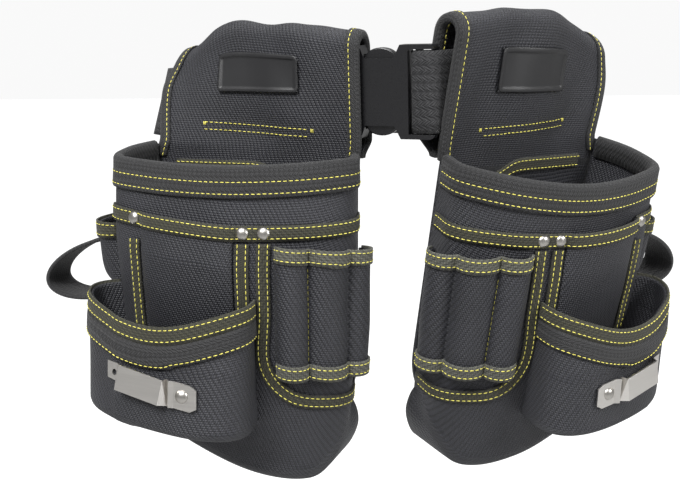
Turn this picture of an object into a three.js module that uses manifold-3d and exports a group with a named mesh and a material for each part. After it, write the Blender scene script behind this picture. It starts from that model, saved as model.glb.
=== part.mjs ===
// A work belt of 50 mm webbing with two mirror-image tool pouches, fastened as worn.
// Millimetres, +Z up. The buckle faces -Y and the origin is the middle of the waist loop.
import * as THREE from 'three';
import { mergeVertices } from 'three/addons/utils/BufferGeometryUtils.js';
import Module from 'manifold-3d';

const wasm = await Module();
wasm.setup();

// Clearances and cloth
const gap = 0.3;
const cloth = 1.6;
const panelWall = 2.2;
const tapeThickness = 1.3;
const ribThickness = 2.2;

// Waist loop
const webbingWidth = 50;
const webbingThickness = 2;
const webbingUp = 5;
const waistDepth = 236;
const waistSag = 30;
const beltSag = 8;

// Pouch body, measured from the middle of the tunnel
const halfWidth = 79;
const depth = 62;
const rimDrop = 29;
const rimSlope = 5;
const bodyDrop = 236;
const outerRise = 46;
const innerRise = 40;
const bottomRound = 9;

// Tunnel over the belt
const foldHeight = 45;
const foldRadius = 9.5;
const flapInner = 71;
const flapOuter = 70;
const flapBulge = 7;
const flapDroop = 20;
const sewnDrop = 36;
const trimWidth = 7;

// Patch
const patchWidth = 62;
const patchHeight = 22;
const patchThickness = 1.8;
const patchRim = 2.2;
const patchAcross = 1;
const patchUp = 16;

// Rim band and mid tier
const bandHeight = 17;
const midDrop = 70;
const midRise = 6;
const bindingHeight = 9.5;
const midBulge = 5;
const midPocketDepth = 78;
const seamTapeWidth = 8.5;
const sideTapeEnd = 30;
const frontTapeEnd = 8;
const sweepBelow = 15;

// Front pocket
const frontMouthDrop = 114;
const frontSag = 13;
const frontBottomDrop = 180;
const frontSlope = 12;
const frontDepth = 34;
const frontLean = 13;
const frontBandHeight = 12.5;
const frontRound = 5;

// Tool sleeves
const sleeveTopDrop = 82;
const sleeveBottomDrop = 160;
const sleeveSlope = 8;
const sleeveBulge = 7.5;

// Side pocket and hammer loop
const sideTopDrop = 75;
const sideBottomDrop = 118;
const sideBulge = 17;
const loopWidth = 24;
const loopReach = 47;
const loopHeight = 41;
const loopThickness = 2.4;

// Steel fittings
const clipLength = 60;
const clipHeight = 15.5;
const clipLift = 5;
const sheetSteel = 1.1;
const clipBelowBand = 2;
const clipSlope = 0.2;
const clipHole = 1.9;
const rivetRadius = 4;
const rivetRise = 2.2;

// Buckle
const buckleLength = 51;
const buckleHeight = 57;
const buckleThickness = 11.5;
const buckleRound = 4;
const notchLength = 25;
const notchDepth = 8;
const barThickness = 4;
const barReach = 13;
const collarLength = 6;
const collarThickness = 8;
const prongHeight = 9;
const prongThickness = 5;

// How each pouch hangs on the belt: where its tunnel stands, its turn round Z, the swing of its foot backwards
// and its lean to the side in degrees, how full its mouth is, the dip of its rim, the droop of its flap's outer
// end, the crown of its fold and, as a share of halfWidth, where that is highest, and how far the flap leans back
const hangs = {
  left: { side: -1, across: 92, back: 31, up: -6, turn: 22.3, swing: 0, lean: 1.5, mouth: 0.86, dip: 4,
    droop: 1, crown: 6, peak: -0.45, flapLean: 24 },
  right: { side: 1, across: 86, back: 34.6, up: -7, turn: 36.5, swing: 9, lean: 2.5, mouth: 0.96, dip: 9,
    droop: 0.4, crown: 11, peak: 0.1, flapLean: 6 },
};

// Plan of the pouch wall from its outer back edge round the front to its inner back edge, as shares of
// halfWidth (across, inner side positive) and of depth (out)
const bodyPlan = [
  { across: -0.95, out: 0 },
  { across: -1.02, out: 0.5 },
  { across: -0.93, out: 0.9 },
  { across: -0.6, out: 1.02 },
  { across: 0, out: 1.02 },
  { across: 0.36, out: 0.93 },
  { across: 0.68, out: 0.75 },
  { across: 0.94, out: 0.38 },
  { across: 0.88, out: 0 },
];
const wallColumns = 24;

// Sections down the wall: share of the drop, and there the shares of width and depth and of the mouth's fullness
const bodySections = [
  { drop: 0, width: 1, depth: 1, mouth: 1 },
  { drop: 0.12, width: 1, depth: 1.01, mouth: 0.5 },
  { drop: 0.3, width: 0.995, depth: 1.03, mouth: 0 },
  { drop: 0.6, width: 0.97, depth: 1.05, mouth: 0 },
  { drop: 0.85, width: 0.92, depth: 1.04, mouth: 0 },
  { drop: 1.2, width: 0.84, depth: 1.01, mouth: 0 },
];

// Foot of a pouch or pocket: how far down the rounded edge, and how much of the depth is left
const footRows = [
  { down: 0, full: 1 },
  { down: 0.5, full: 0.985 },
  { down: 0.87, full: 0.93 },
  { down: 1, full: 0.85 },
  { down: 1, full: 0 },
];

// Where pieces stand on the wall, in mm along it from its outer back edge
const seats = {
  sidePocket: { from: 7, to: 50 },
  sideTape: 78,
  midPocket: { from: 84, to: 146 },
  frontTape: 151.5,
  frontPocket: { from: 54, to: 158 },
  sweepTape: 164.5,
  sleeves: { from: 171, to: 236 },
};

const colours = {
  fabric: 0x34343c,
  webbing: 0x3b3b3d,
  tape: 0x45443c,
  lightTape: 0x6b6b62,
  rubber: 0x2b2b2e,
  plastic: 0x242428,
  steel: 0xd2cec8,
};

function material(colour, roughness, metalness = 0) {
  return new THREE.MeshStandardMaterial({ color: colour, roughness, metalness });
}
const materials = {
  fabric: material(colours.fabric, 0.85),
  webbing: material(colours.webbing, 0.9),
  tape: material(colours.tape, 0.9),
  lightTape: material(colours.lightTape, 0.9),
  rubber: material(colours.rubber, 0.6),
  plastic: material(colours.plastic, 0.4),
  steel: material(colours.steel, 0.3, 1),
};

const { lerp, smoothstep, degToRad, clamp } = THREE.MathUtils;

// Closed bodies from grids and rings

function closedGeometry(points, faces) {
  let volume = 0;
  for (const [a, b, c] of faces) {
    volume += points[a].dot(new THREE.Vector3().crossVectors(points[b], points[c]));
  }
  const index = faces.flatMap(([a, b, c]) => (volume > 0 ? [a, b, c] : [a, c, b]));
  const geometry = new THREE.BufferGeometry();
  geometry.setAttribute('position', new THREE.Float32BufferAttribute(points.flatMap((p) => p.toArray()), 3));
  geometry.setIndex(index);
  return geometry;
}

function evenSteps(count, from = 0, to = 1) {
  return Array.from({ length: count + 1 }, (_, k) => lerp(from, to, k / count));
}

// A sheet with thickness between two faces, each a function of (u, v), with its columns at us and its rows at vs
function slab(front, back, us, vs) {
  const points = [front, back].flatMap((face) => vs.flatMap((v) => us.map((u) => face(u, v))));
  const columns = us.length - 1;
  const rows = vs.length - 1;
  const backStart = us.length * vs.length;
  const at = (column, row) => row * us.length + column;
  const faces = [];
  const quad = (a, b, c, d) => faces.push([a, b, c], [a, c, d]);
  for (let row = 0; row < rows; row += 1) {
    for (let column = 0; column < columns; column += 1) {
      const corner = [at(column, row), at(column + 1, row), at(column + 1, row + 1), at(column, row + 1)];
      quad(...corner);
      const [a, b, c, d] = corner.map((k) => k + backStart);
      faces.push([a, c, b], [a, d, c]);
    }
  }
  const border = [];
  for (let column = 0; column < columns; column += 1) border.push(at(column, 0));
  for (let row = 0; row < rows; row += 1) border.push(at(columns, row));
  for (let column = columns; column > 0; column -= 1) border.push(at(column, rows));
  for (let row = rows; row > 0; row -= 1) border.push(at(0, row));
  border.forEach((here, k) => {
    const next = border[(k + 1) % border.length];
    quad(next, here, here + backStart, next + backStart);
  });
  return closedGeometry(points, faces);
}

// A solid through rings of points; section is the same outline flat, for the two ends
function loft(rings, section) {
  const sides = rings[0].length;
  const points = rings.flat();
  const faces = [];
  for (let ring = 0; ring < rings.length - 1; ring += 1) {
    for (let side = 0; side < sides; side += 1) {
      const next = (side + 1) % sides;
      const a = ring * sides + side;
      const b = ring * sides + next;
      faces.push([a, b, b + sides], [a, b + sides, a + sides]);
    }
  }
  const last = (rings.length - 1) * sides;
  const clockwise = THREE.ShapeUtils.isClockWise(section);
  for (const [a, b, c] of THREE.ShapeUtils.triangulateShape(section, [])) {
    const start = clockwise ? [a, b, c] : [a, c, b];
    const end = clockwise ? [a, c, b] : [a, b, c];
    faces.push(start, end.map((k) => last + k));
  }
  return closedGeometry(points, faces);
}

function toSolid(geometry) {
  const bare = geometry.clone();
  bare.deleteAttribute('normal');
  bare.deleteAttribute('uv');
  const merged = mergeVertices(bare);
  return new wasm.Manifold(new wasm.Mesh({
    numProp: 3,
    vertProperties: new Float32Array(merged.attributes.position.array),
    triVerts: new Uint32Array(merged.index.array),
  }));
}

function fromSolid(solid) {
  const mesh = solid.getMesh();
  const geometry = new THREE.BufferGeometry();
  geometry.setAttribute('position', new THREE.Float32BufferAttribute(mesh.vertProperties, 3));
  geometry.setIndex(new THREE.Uint32BufferAttribute(mesh.triVerts, 1));
  return geometry;
}

// A block between two corners
function block(fromX, toX, fromY, toY, fromZ, toZ) {
  return toSolid(new THREE.BoxGeometry(toX - fromX, toY - fromY, toZ - fromZ)
    .translate((fromX + toX) / 2, (fromY + toY) / 2, (fromZ + toZ) / 2));
}

// A surface of (u, z) as one of (u, z, out), where out is the distance off it along its normal
function lifted(surface) {
  const step = 0.4;
  return (u, z, out) => {
    const point = surface(u, z);
    const along = surface(u + step, z).sub(surface(u - step, z));
    const down = surface(u, z - step).sub(surface(u, z + step));
    return point.addScaledVector(along.cross(down).normalize(), -out);
  };
}

function tableValue(table, value, column) {
  const upper = Math.max(1, table.findIndex((row) => row.drop >= value));
  const a = table[upper - 1];
  const b = table[upper];
  return lerp(a[column], b[column], (value - a.drop) / (b.drop - a.drop));
}

// The round of a pocket: 0 at both ends, 1 over the middle; power sets how square it is
function bulge(s, power) {
  return Math.max(0, 1 - Math.abs(2 * s - 1) ** power) ** (1 / power);
}

// Steps across a pocket, closer together towards its two ends
function easedSteps(count) {
  return evenSteps(count).map((s) => 0.5 - 0.5 * Math.cos(Math.PI * s));
}

// One pouch, in its own frame: X to its inner side, -Y to its front, Z up, origin at the middle of the tunnel

function makePouch(hang) {
  const curve = new THREE.CatmullRomCurve3(
    bodyPlan.map((row) => new THREE.Vector3(row.across * halfWidth, -row.out * depth, 0)),
    false,
    'centripetal',
  );
  const wallLength = curve.getLength();
  const wallCorners = curve.getSpacedPoints(wallColumns);

  function planAt(share) {
    const place = clamp(share, 0, 1) * wallColumns;
    const corner = Math.min(wallColumns - 1, Math.floor(place));
    return wallCorners[corner].clone().lerp(wallCorners[corner + 1], place - corner);
  }
  // Columns for a piece on the wall: its two ends and the wall's own corners between them
  function wallStops(from, to) {
    const pitch = wallLength / wallColumns;
    const inner = evenSteps(wallColumns, 0, wallLength).filter((u) => u > from + pitch * 0.1 && u < to - pitch * 0.1);
    return [from, ...inner, to];
  }
  function rimHeight(share) {
    return -rimDrop - rimSlope * share - hang.dip * Math.sin(Math.PI * share) ** 2;
  }
  function bottomHeight(share) {
    const outer = outerRise * (1 - smoothstep(share, 0.05, 0.78));
    const inner = innerRise * smoothstep(share, 0.78, 1);
    return -bodyDrop + outer + inner;
  }
  // The wall at a height, with the whole drawn in by inset
  function wallPoint(share, z, inset, full = 1) {
    const base = planAt(share);
    const top = rimHeight(share);
    const drop = clamp((top - z) / (top - bottomHeight(share)), 0, 1.19);
    const mouth = lerp(1, hang.mouth, tableValue(bodySections, drop, 'mouth'));
    const width = tableValue(bodySections, drop, 'width') * (1 - inset / halfWidth);
    const out = tableValue(bodySections, drop, 'depth') * mouth * (1 - inset / depth) * full;
    const beyond = Math.abs(share - clamp(share, 0, 1)) * wallLength;
    return new THREE.Vector3(base.x * width, base.y * out - gap + beyond, z);
  }
  const bodyLift = lifted((wrap, z) => wallPoint(wrap / wallLength, z, 0));

  function mainPouch() {
    const levels = bodySections.slice(0, -1).map((row) => ({ drop: row.drop, foot: 0, full: 1 }));
    for (const row of footRows) levels.push({ drop: 1, foot: row.down, full: row.full });
    const face = (inset) => (share, level) => {
      const top = rimHeight(share);
      const foot = bottomHeight(share) + inset;
      const z = lerp(top, foot + bottomRound, level.drop) - bottomRound * level.foot;
      return wallPoint(share, z, inset, level.full);
    };
    return slab(face(0), face(cloth), evenSteps(wallColumns), levels);
  }

  // Sheet from the pouch's foot up, over the belt and down to its sewn line. Its rows are at v: from -1 to 0
  // behind the pouch, and then the length in mm up the flap and over the fold
  const flapFoot = -rimDrop - 14;
  const foldTop = foldHeight - foldRadius;
  const straight = foldTop - flapFoot;
  const over = Math.PI * foldRadius;
  const back = foldTop + sewnDrop;
  const middle = panelWall / 2;
  function panelLine(v) {
    if (v < straight) return { y: middle, z: flapFoot + Math.max(0, v), nextY: 0, nextZ: 1 };
    if (v < straight + over) {
      const angle = (v - straight) / foldRadius;
      return {
        y: middle + foldRadius * (1 - Math.cos(angle)),
        z: foldTop + foldRadius * Math.sin(angle),
        nextY: Math.sin(angle),
        nextZ: Math.cos(angle),
      };
    }
    const down = v - straight - over;
    const sewnGap = 2 * (tapeThickness + 2 * gap) + panelWall;
    const inwards = (2 * foldRadius - sewnGap) * smoothstep(down / back, 0.86, 1);
    return { y: middle + 2 * foldRadius - inwards, z: foldTop - down, nextY: 0, nextZ: -1 };
  }
  // The flap leans back towards its outer and upper part, is crowned, and its outer end droops
  function leaned(point) {
    const outer = clamp((halfWidth * 0.4 - point.x) / halfWidth, 0, 1.4);
    const upper = clamp((point.z + rimDrop) / (foldHeight + rimDrop), 0, 1.1);
    const high = smoothstep(point.z, 0, foldHeight);
    const droop = smoothstep(outer, 0.5, 1.32) ** 1.4;
    const crown = 1 - (point.x / halfWidth - hang.peak) ** 2;
    point.y += hang.flapLean * outer ** 1.3 * upper;
    point.z += hang.crown * crown * high - flapDroop * hang.droop * droop * high;
    return point;
  }
  function flapEdges(v) {
    const below = clamp(-v, 0, 1);
    const onFlap = smoothstep(v, 4, 18);
    const low = 1 - 0.2 * smoothstep(below, 0.7, 1) ** 2;
    const bodyOuter = bodyPlan[0].across * halfWidth * lerp(1, 0.93, below) * low;
    const bodyInner = bodyPlan[bodyPlan.length - 1].across * halfWidth * lerp(1, 0.93, below) * low;
    const round = flapBulge * Math.sin(Math.PI * clamp(v / (straight + over), 0, 1)) ** 2;
    return { outer: lerp(bodyOuter, -flapOuter, onFlap) - round, inner: lerp(bodyInner, flapInner, onFlap) };
  }
  function panelPoint(s, v, out) {
    const line = panelLine(v);
    const edges = flapEdges(v);
    const x = lerp(edges.outer, edges.inner, s);
    if (v < 0) line.z = lerp(flapFoot, bottomHeight(lerp(0.18, 0.9, s)) + gap, -v);
    return leaned(new THREE.Vector3(x, line.y - line.nextZ * out, line.z + line.nextY * out));
  }
  const panelLength = straight + over + back;
  const flapRise = [0, 0.1, 0.2, 0.36, 0.52, 0.68, 0.84];
  const panelStops = [
    -1, -0.94, -0.8, -0.45,
    ...flapRise.map((share) => share * straight),
    ...evenSteps(5, straight, straight + over),
    ...[0.25, 0.55, 0.86, 0.93, 1].map((share) => straight + over + share * back),
  ];
  const panelColumns = [0, 0.05, 0.12, 0.24, 0.4, 0.58, 0.76, 0.95, 1];
  function backPanel() {
    const face = (out) => (s, v) => panelPoint(s, v, out);
    return slab(face(middle), face(-middle), panelColumns, panelStops);
  }

  // Tape bound round a side edge of the flap, from the mouth over the fold to the sewn line
  function edgeTrim(outerSide) {
    const half = middle + gap;
    const proud = half + tapeThickness;
    const section = [
      new THREE.Vector2(trimWidth, half),
      new THREE.Vector2(trimWidth, proud),
      new THREE.Vector2(-tapeThickness * 0.6, proud),
      new THREE.Vector2(-tapeThickness - gap, 0),
      new THREE.Vector2(-tapeThickness * 0.6, -proud),
      new THREE.Vector2(trimWidth, -proud),
      new THREE.Vector2(trimWidth, -half),
      new THREE.Vector2(-gap, -half),
      new THREE.Vector2(-gap, half),
    ];
    const stops = panelStops.filter((v) => v > straight * 0.2);
    const rings = stops.map((v) => {
      const edges = flapEdges(v);
      const width = edges.inner - edges.outer;
      return section.map((p) => panelPoint(outerSide ? p.x / width : 1 - p.x / width, v, p.y));
    });
    return loft(rings, section);
  }

  // A point on the flap's front face, by its place across and its height
  function flapPoint(x, z, out) {
    const v = z - flapFoot;
    const edges = flapEdges(v);
    return panelPoint((x - edges.outer) / (edges.inner - edges.outer), v, middle + out);
  }
  // Rubber patch: a raised rim round a lower field
  function patch() {
    const stops = (size) => [0, patchRim, patchRim * 1.2, size / 2, size - patchRim * 1.2, size - patchRim, size];
    const face = (front) => (x, z) => {
      const margin = Math.min(x, patchWidth - x, z, patchHeight - z);
      const out = margin < patchRim * 1.1 ? patchThickness : patchThickness * 0.65;
      return flapPoint(patchAcross + x - patchWidth / 2, patchUp + z - patchHeight / 2, 2 * gap + (front ? out : 0));
    };
    return slab(face(true), face(false), stops(patchWidth), stops(patchHeight));
  }
  function innerTape() {
    const height = (s) => flapFoot + 4 - 9 * smoothstep(s, 0.6, 1) ** 2;
    const across = (s) => lerp(-flapOuter * 0.85, flapInner * 0.35, s);
    const face = (out) => (s, t) => new THREE.Vector3(across(s), -out, height(s) - t * bindingHeight);
    return slab(face(gap + tapeThickness), face(gap), evenSteps(8), [0, 1]);
  }

  // A tape lying on the wall along a line of (u, z)
  function tape(lineAt, width, stops) {
    const face = (out) => (s, t) => {
      const here = lineAt(s);
      const ahead = lineAt(Math.min(1, s + 0.01));
      const behind = lineAt(Math.max(0, s - 0.01));
      const along = ahead.clone().sub(behind).normalize();
      const off = (t - 0.5) * width;
      return bodyLift(here.x - along.y * off, here.y + along.x * off, out);
    };
    return slab(face(2.5 * gap + tapeThickness), face(2.5 * gap), stops, [0, 0.5, 1]);
  }

  // Webbing folded over the main mouth: down the front, over the edge and down the inside
  function rimBand() {
    const proud = gap + ribThickness;
    const section = [
      new THREE.Vector2(gap, -bandHeight),
      new THREE.Vector2(proud, -bandHeight),
      new THREE.Vector2(proud, 0),
      new THREE.Vector2(-cloth / 2, proud * 1.1),
      new THREE.Vector2(-cloth - proud, 0),
      new THREE.Vector2(-cloth - proud, -bandHeight * 0.7),
      new THREE.Vector2(-cloth - 2 * gap, -bandHeight * 0.7),
      new THREE.Vector2(-cloth - 2 * gap, gap),
      new THREE.Vector2(gap, gap),
    ];
    const margin = ribThickness + 3 * gap;
    const rings = wallStops(margin, wallLength - margin).map((u) => (
      section.map((p) => bodyLift(u, rimHeight(u / wallLength) + p.y, p.x))
    ));
    return loft(rings, section);
  }

  // Mid tier: a shallow pocket on the wall, and the binding along its mouth and on round the pouch
  const midSeat = seats.midPocket;
  const midColumns = easedSteps(10);
  function midTop(wrap) {
    return -midDrop + midRise * clamp((seats.midPocket.to - wrap) / (seats.midPocket.to - seats.midPocket.from), 0, 1.4);
  }
  function midOut(wrap) {
    const s = (wrap - midSeat.from) / (midSeat.to - midSeat.from);
    return s <= 0 || s >= 1 ? 0 : (midBulge + cloth) * bulge(s, 2.4);
  }
  function midPocket() {
    const face = (inset) => (s, t) => {
      const wrap = lerp(midSeat.from + inset, midSeat.to - inset, s);
      const out = Math.max(0, midOut(lerp(midSeat.from, midSeat.to, s)) - inset) * (1 - t ** 3);
      return bodyLift(wrap, midTop(wrap) - t * (midPocketDepth - inset), 1.5 * gap + out);
    };
    return slab(face(0), face(cloth), midColumns, evenSteps(4));
  }
  function midBinding() {
    const face = (out) => (wrap, t) => (
      bodyLift(wrap, midTop(wrap) + 1.5 - t * bindingHeight, midOut(wrap) + 2.5 * gap + out)
    );
    const before = wallStops(seats.frontPocket.from - 3, midSeat.from);
    const along = midColumns.slice(1, -1).map((s) => lerp(midSeat.from, midSeat.to, s));
    const after = wallStops(midSeat.to, wallLength - 3);
    return slab(face(tapeThickness), face(0), [...before, ...along, ...after], [0, 1]);
  }
  function seamTape(seat, from, to) {
    const line = (s) => new THREE.Vector2(seat, -lerp(from, to, s));
    return tape(line, seamTapeWidth, evenSteps(3));
  }
  // The long tape: down from its rivet, then sweeping round to the inner edge
  const sweepFrom = midDrop + bindingHeight;
  const sweepRows = [
    { along: 0, z: -sweepFrom },
    { along: 0, z: -lerp(sweepFrom, sleeveBottomDrop, 0.5) },
    { along: -0.005, z: -sleeveBottomDrop + 4 },
    { along: 0.17, z: -sleeveBottomDrop - sweepBelow },
    { along: 0.5, z: -sleeveBottomDrop - sleeveSlope - sweepBelow },
    { along: 0.96, z: -sleeveBottomDrop - sleeveSlope - sweepBelow * 1.2 },
  ];
  function sweepTape() {
    const rows = sweepRows.map((row) => (
      new THREE.Vector3(lerp(seats.sweepTape, wallLength, row.along), row.z, 0)
    ));
    const line = new THREE.CatmullRomCurve3(rows, false, 'centripetal');
    return tape((s) => line.getPointAt(s), seamTapeWidth, evenSteps(26));
  }

  // Tool sleeves: one sheet with three rounds side by side, open above and below
  const sleeveWidths = [0.3, 0.38, 0.32];
  function sleeveOut(s) {
    let start = 0;
    for (const width of sleeveWidths) {
      if (s <= start + width + 1e-9) {
        return sleeveBulge * Math.max(0, Math.sin((Math.PI * (s - start)) / width)) ** 0.7;
      }
      start += width;
    }
    return 0;
  }
  const sleeveColumns = [0];
  for (const width of sleeveWidths) {
    const start = sleeveColumns.at(-1);
    sleeveColumns.push(...[0.12, 0.3, 0.5, 0.7, 0.88, 1].map((share) => start + width * share));
  }
  function sleeveSheet(top, bottom, base, thickness, rows) {
    const face = (out) => (s, t) => {
      const wrap = lerp(seats.sleeves.from, seats.sleeves.to, s);
      return bodyLift(wrap, -lerp(top, bottom, t) - sleeveSlope * s, base + out + sleeveOut(s));
    };
    return slab(face(thickness), face(0), sleeveColumns, evenSteps(rows));
  }

  // Front pocket: a box that leans out from the wall, with a sagging mouth
  const frontSeat = seats.frontPocket;
  const frontColumns = easedSteps(18);
  function frontMouth(s) {
    return -frontMouthDrop - frontSag * Math.sin(Math.PI * s) ** 1.3 + 3 * (1 - s);
  }
  function frontPoint(s, z, inset, full) {
    const wrap = lerp(frontSeat.from + inset, frontSeat.to - inset, s);
    const low = (-frontMouthDrop - z) / (frontBottomDrop - frontMouthDrop);
    const reach = frontDepth - frontLean * 0.5 + frontLean * low - inset;
    return bodyLift(wrap, z, 1.5 * gap + reach * bulge(s, 3.6) * full);
  }
  function frontPocket() {
    const levels = [0, 0.33, 0.67].map((down) => ({ down, foot: 0, full: 1 }));
    for (const row of footRows) levels.push({ down: 1, foot: row.down, full: row.full });
    const face = (inset) => (s, level) => {
      const foot = -frontBottomDrop - frontSlope * s + inset;
      const z = lerp(frontMouth(s), foot + frontRound, level.down) - frontRound * level.foot;
      return frontPoint(s, z, inset, level.full);
    };
    return slab(face(0), face(cloth), frontColumns, levels);
  }
  const frontLift = lifted((percent, z) => frontPoint(clamp(percent / 100, 0.001, 0.999), z, 0, 1));
  function frontStrip(from, to, base) {
    const face = (out) => (s, drop) => frontLift(s * 100, frontMouth(s) - drop, base + out);
    return slab(face(tapeThickness), face(0), frontColumns.slice(1, -1), [from, to]);
  }

  // Side pocket and its binding
  const sideSeat = seats.sidePocket;
  const sideColumns = easedSteps(8);
  const sideOut = (s) => (sideBulge + cloth) * bulge(s, 2.6);
  function sidePocket() {
    const face = (inset) => (s, t) => {
      const wrap = lerp(sideSeat.from + inset, sideSeat.to - inset, s);
      const out = Math.max(0, sideOut(s) - inset) * (1 - t ** 4);
      return bodyLift(wrap, -lerp(sideTopDrop, sideBottomDrop - inset, t), 1.5 * gap + out);
    };
    return slab(face(0), face(cloth), sideColumns, evenSteps(4));
  }
  function sideBinding() {
    const face = (out) => (s, t) => (
      bodyLift(lerp(sideSeat.from, sideSeat.to, s), -sideTopDrop + 1.5 - t * bindingHeight,
        sideOut(s) + 2.5 * gap + out)
    );
    return slab(face(tapeThickness), face(0), sideColumns.slice(1, -1), [0, 1]);
  }
  // A stiff loop of webbing that stands out from the side pocket
  function hammerLoop() {
    const seat = bodyLift(lerp(sideSeat.from, sideSeat.to, 0.5), -sideTopDrop - bindingHeight - 2,
      sideBulge + cloth + 2 * gap);
    const section = [
      new THREE.Vector2(-loopWidth / 2, 0),
      new THREE.Vector2(loopWidth / 2, 0),
      new THREE.Vector2(loopWidth / 2, loopThickness),
      new THREE.Vector2(-loopWidth / 2, loopThickness),
    ];
    const high = loopHeight / 2;
    const rings = evenSteps(14, 0.5, 1.5).map((turn) => {
      const angle = Math.PI * turn;
      const out = Math.abs(Math.cos(angle));
      return section.map((p) => new THREE.Vector3(
        seat.x - gap - out * (loopReach - p.y),
        seat.y + p.x,
        seat.z - high + Math.sin(angle) * (high - p.y) - loopReach * 0.25 * out,
      ));
    });
    return loft(rings, section);
  }

  // Steel clip: two tabs on the pocket and a flat plate bridged between them. Its columns go along it as shares
  // of its length, with the share of its lift and of its half height above and below
  const clipColumns = [
    { along: 0, lift: 0, high: 0.7, low: 0.6 },
    { along: 0.14, lift: 0, high: 0.8, low: 0.6 },
    { along: 0.17, lift: 1, high: 1, low: 1 },
    { along: 0.68, lift: 1, high: 1, low: 1 },
    { along: 0.71, lift: 0.1, high: 1, low: 1 },
    { along: 0.75, lift: 0.5, high: 1, low: 1 },
    { along: 0.79, lift: 0, high: 1, low: 1 },
    { along: 0.96, lift: 0, high: 1, low: 1 },
    { along: 1, lift: 0, high: 0.7, low: 0.7 },
  ];
  const clipMiddle = 51;
  const clipReach = 20;
  const clipDrop = bindingHeight + frontBandHeight + clipBelowBand + clipHeight / 2 - frontMouth(clipMiddle / 100);
  const clipCentre = frontLift(clipMiddle, -clipDrop, 0);
  const clipOut = frontLift(clipMiddle, -clipDrop, 1).sub(clipCentre).normalize();
  const clipAlong = frontLift(clipMiddle + clipReach, -clipDrop, 0)
    .sub(frontLift(clipMiddle - clipReach, -clipDrop, 0));
  const percentPerMm = (2 * clipReach) / clipAlong.length();
  clipAlong.normalize().applyAxisAngle(clipOut, -Math.sign(clipAlong.x) * Math.atan(clipSlope));
  const clipUp = new THREE.Vector3().crossVectors(clipOut, clipAlong).normalize();
  if (clipUp.z < 0) clipUp.negate();
  function clipPoint(along, up, out) {
    const across = (along - 0.5) * clipLength;
    return frontLift(clipMiddle + across * percentPerMm, -clipDrop - clipSlope * across + up, out);
  }
  function clipPlatePoint(along, up, out) {
    return clipCentre.clone()
      .addScaledVector(clipAlong, (along - 0.5) * clipLength)
      .addScaledVector(clipUp, up)
      .addScaledVector(clipOut, out);
  }
  function tapeClip() {
    const face = (out) => (column, upper) => {
      const up = (upper ? column.high : -column.low) * clipHeight * 0.5;
      const pointAt = column.lift === 1 ? clipPlatePoint : clipPoint;
      return pointAt(column.along, up, 2 * gap + column.lift * clipLift + out);
    };
    const plate = toSolid(slab(face(sheetSteel), face(0), clipColumns, [1, 0]));
    const drill = new THREE.CylinderGeometry(clipHole, clipHole, 12, 12);
    const centre = clipPoint(0.085, 0, 0);
    const ahead = clipPoint(0.085, 0, 1).sub(centre).normalize();
    drill.applyQuaternion(new THREE.Quaternion().setFromUnitVectors(new THREE.Vector3(0, 1, 0), ahead));
    drill.translate(...centre.toArray());
    return fromSolid(plate.subtract(toSolid(drill)));
  }

  // A domed rivet head seated at a point, facing along a normal
  function rivet(pointAt) {
    const profile = [
      new THREE.Vector2(0, 0),
      new THREE.Vector2(rivetRadius, 0),
      new THREE.Vector2(rivetRadius * 0.92, rivetRise * 0.55),
      new THREE.Vector2(rivetRadius * 0.55, rivetRise * 0.92),
      new THREE.Vector2(0, rivetRise),
    ];
    const seat = pointAt(0);
    const normal = pointAt(1).sub(seat).normalize();
    return new THREE.LatheGeometry(profile, 8)
      .applyQuaternion(new THREE.Quaternion().setFromUnitVectors(new THREE.Vector3(0, 1, 0), normal))
      .translate(...seat.toArray());
  }
  const bindingTop = 3.5 * gap + tapeThickness + gap;
  const bindingRivet = (wrap) => rivet((out) => (
    bodyLift(wrap, midTop(wrap) + 1.5 - bindingHeight / 2, midOut(wrap) + bindingTop + out)
  ));

  const pieces = {
    back_panel: [backPanel(), materials.fabric],
    inner_edge_trim: [edgeTrim(false), materials.webbing],
    outer_edge_trim: [edgeTrim(true), materials.webbing],
    patch: [patch(), materials.rubber],
    main_pouch: [mainPouch(), materials.fabric],
    rim_band: [rimBand(), materials.webbing],
    inner_tape: [innerTape(), materials.tape],
    mid_pocket: [midPocket(), materials.fabric],
    mid_binding: [midBinding(), materials.tape],
    side_seam_tape: [seamTape(seats.sideTape, midDrop + bindingHeight, frontMouthDrop + sideTapeEnd), materials.tape],
    front_seam_tape: [seamTape(seats.frontTape, midDrop + bindingHeight, frontMouthDrop + frontTapeEnd), materials.tape],
    sweep_tape: [sweepTape(), materials.tape],
    tool_sleeves: [sleeveSheet(sleeveTopDrop, sleeveBottomDrop, 2 * gap, cloth, 3), materials.fabric],
    sleeve_top_binding: [sleeveSheet(sleeveTopDrop - 1.5, sleeveTopDrop - 1.5 + bindingHeight,
      3 * gap + cloth, tapeThickness, 1), materials.lightTape],
    sleeve_bottom_binding: [sleeveSheet(sleeveBottomDrop + 1.5 - bindingHeight, sleeveBottomDrop + 1.5,
      3 * gap + cloth, tapeThickness, 1), materials.lightTape],
    front_pocket: [frontPocket(), materials.fabric],
    front_binding: [frontStrip(-1.5, bindingHeight, gap), materials.tape],
    front_band: [frontStrip(bindingHeight + gap, bindingHeight + frontBandHeight, gap), materials.webbing],
    side_pocket: [sidePocket(), materials.fabric],
    side_binding: [sideBinding(), materials.tape],
    hammer_loop: [hammerLoop(), materials.webbing],
    tape_clip: [tapeClip(), materials.steel],
    clip_rivet: [rivet((out) => clipPoint(0.87, 0, 3 * gap + sheetSteel + out)), materials.steel],
    front_rivet: [bindingRivet(seats.frontTape), materials.steel],
    sweep_rivet: [bindingRivet(seats.sweepTape), materials.steel],
    side_rivet: [bindingRivet(seats.sideTape), materials.steel],
  };

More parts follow.
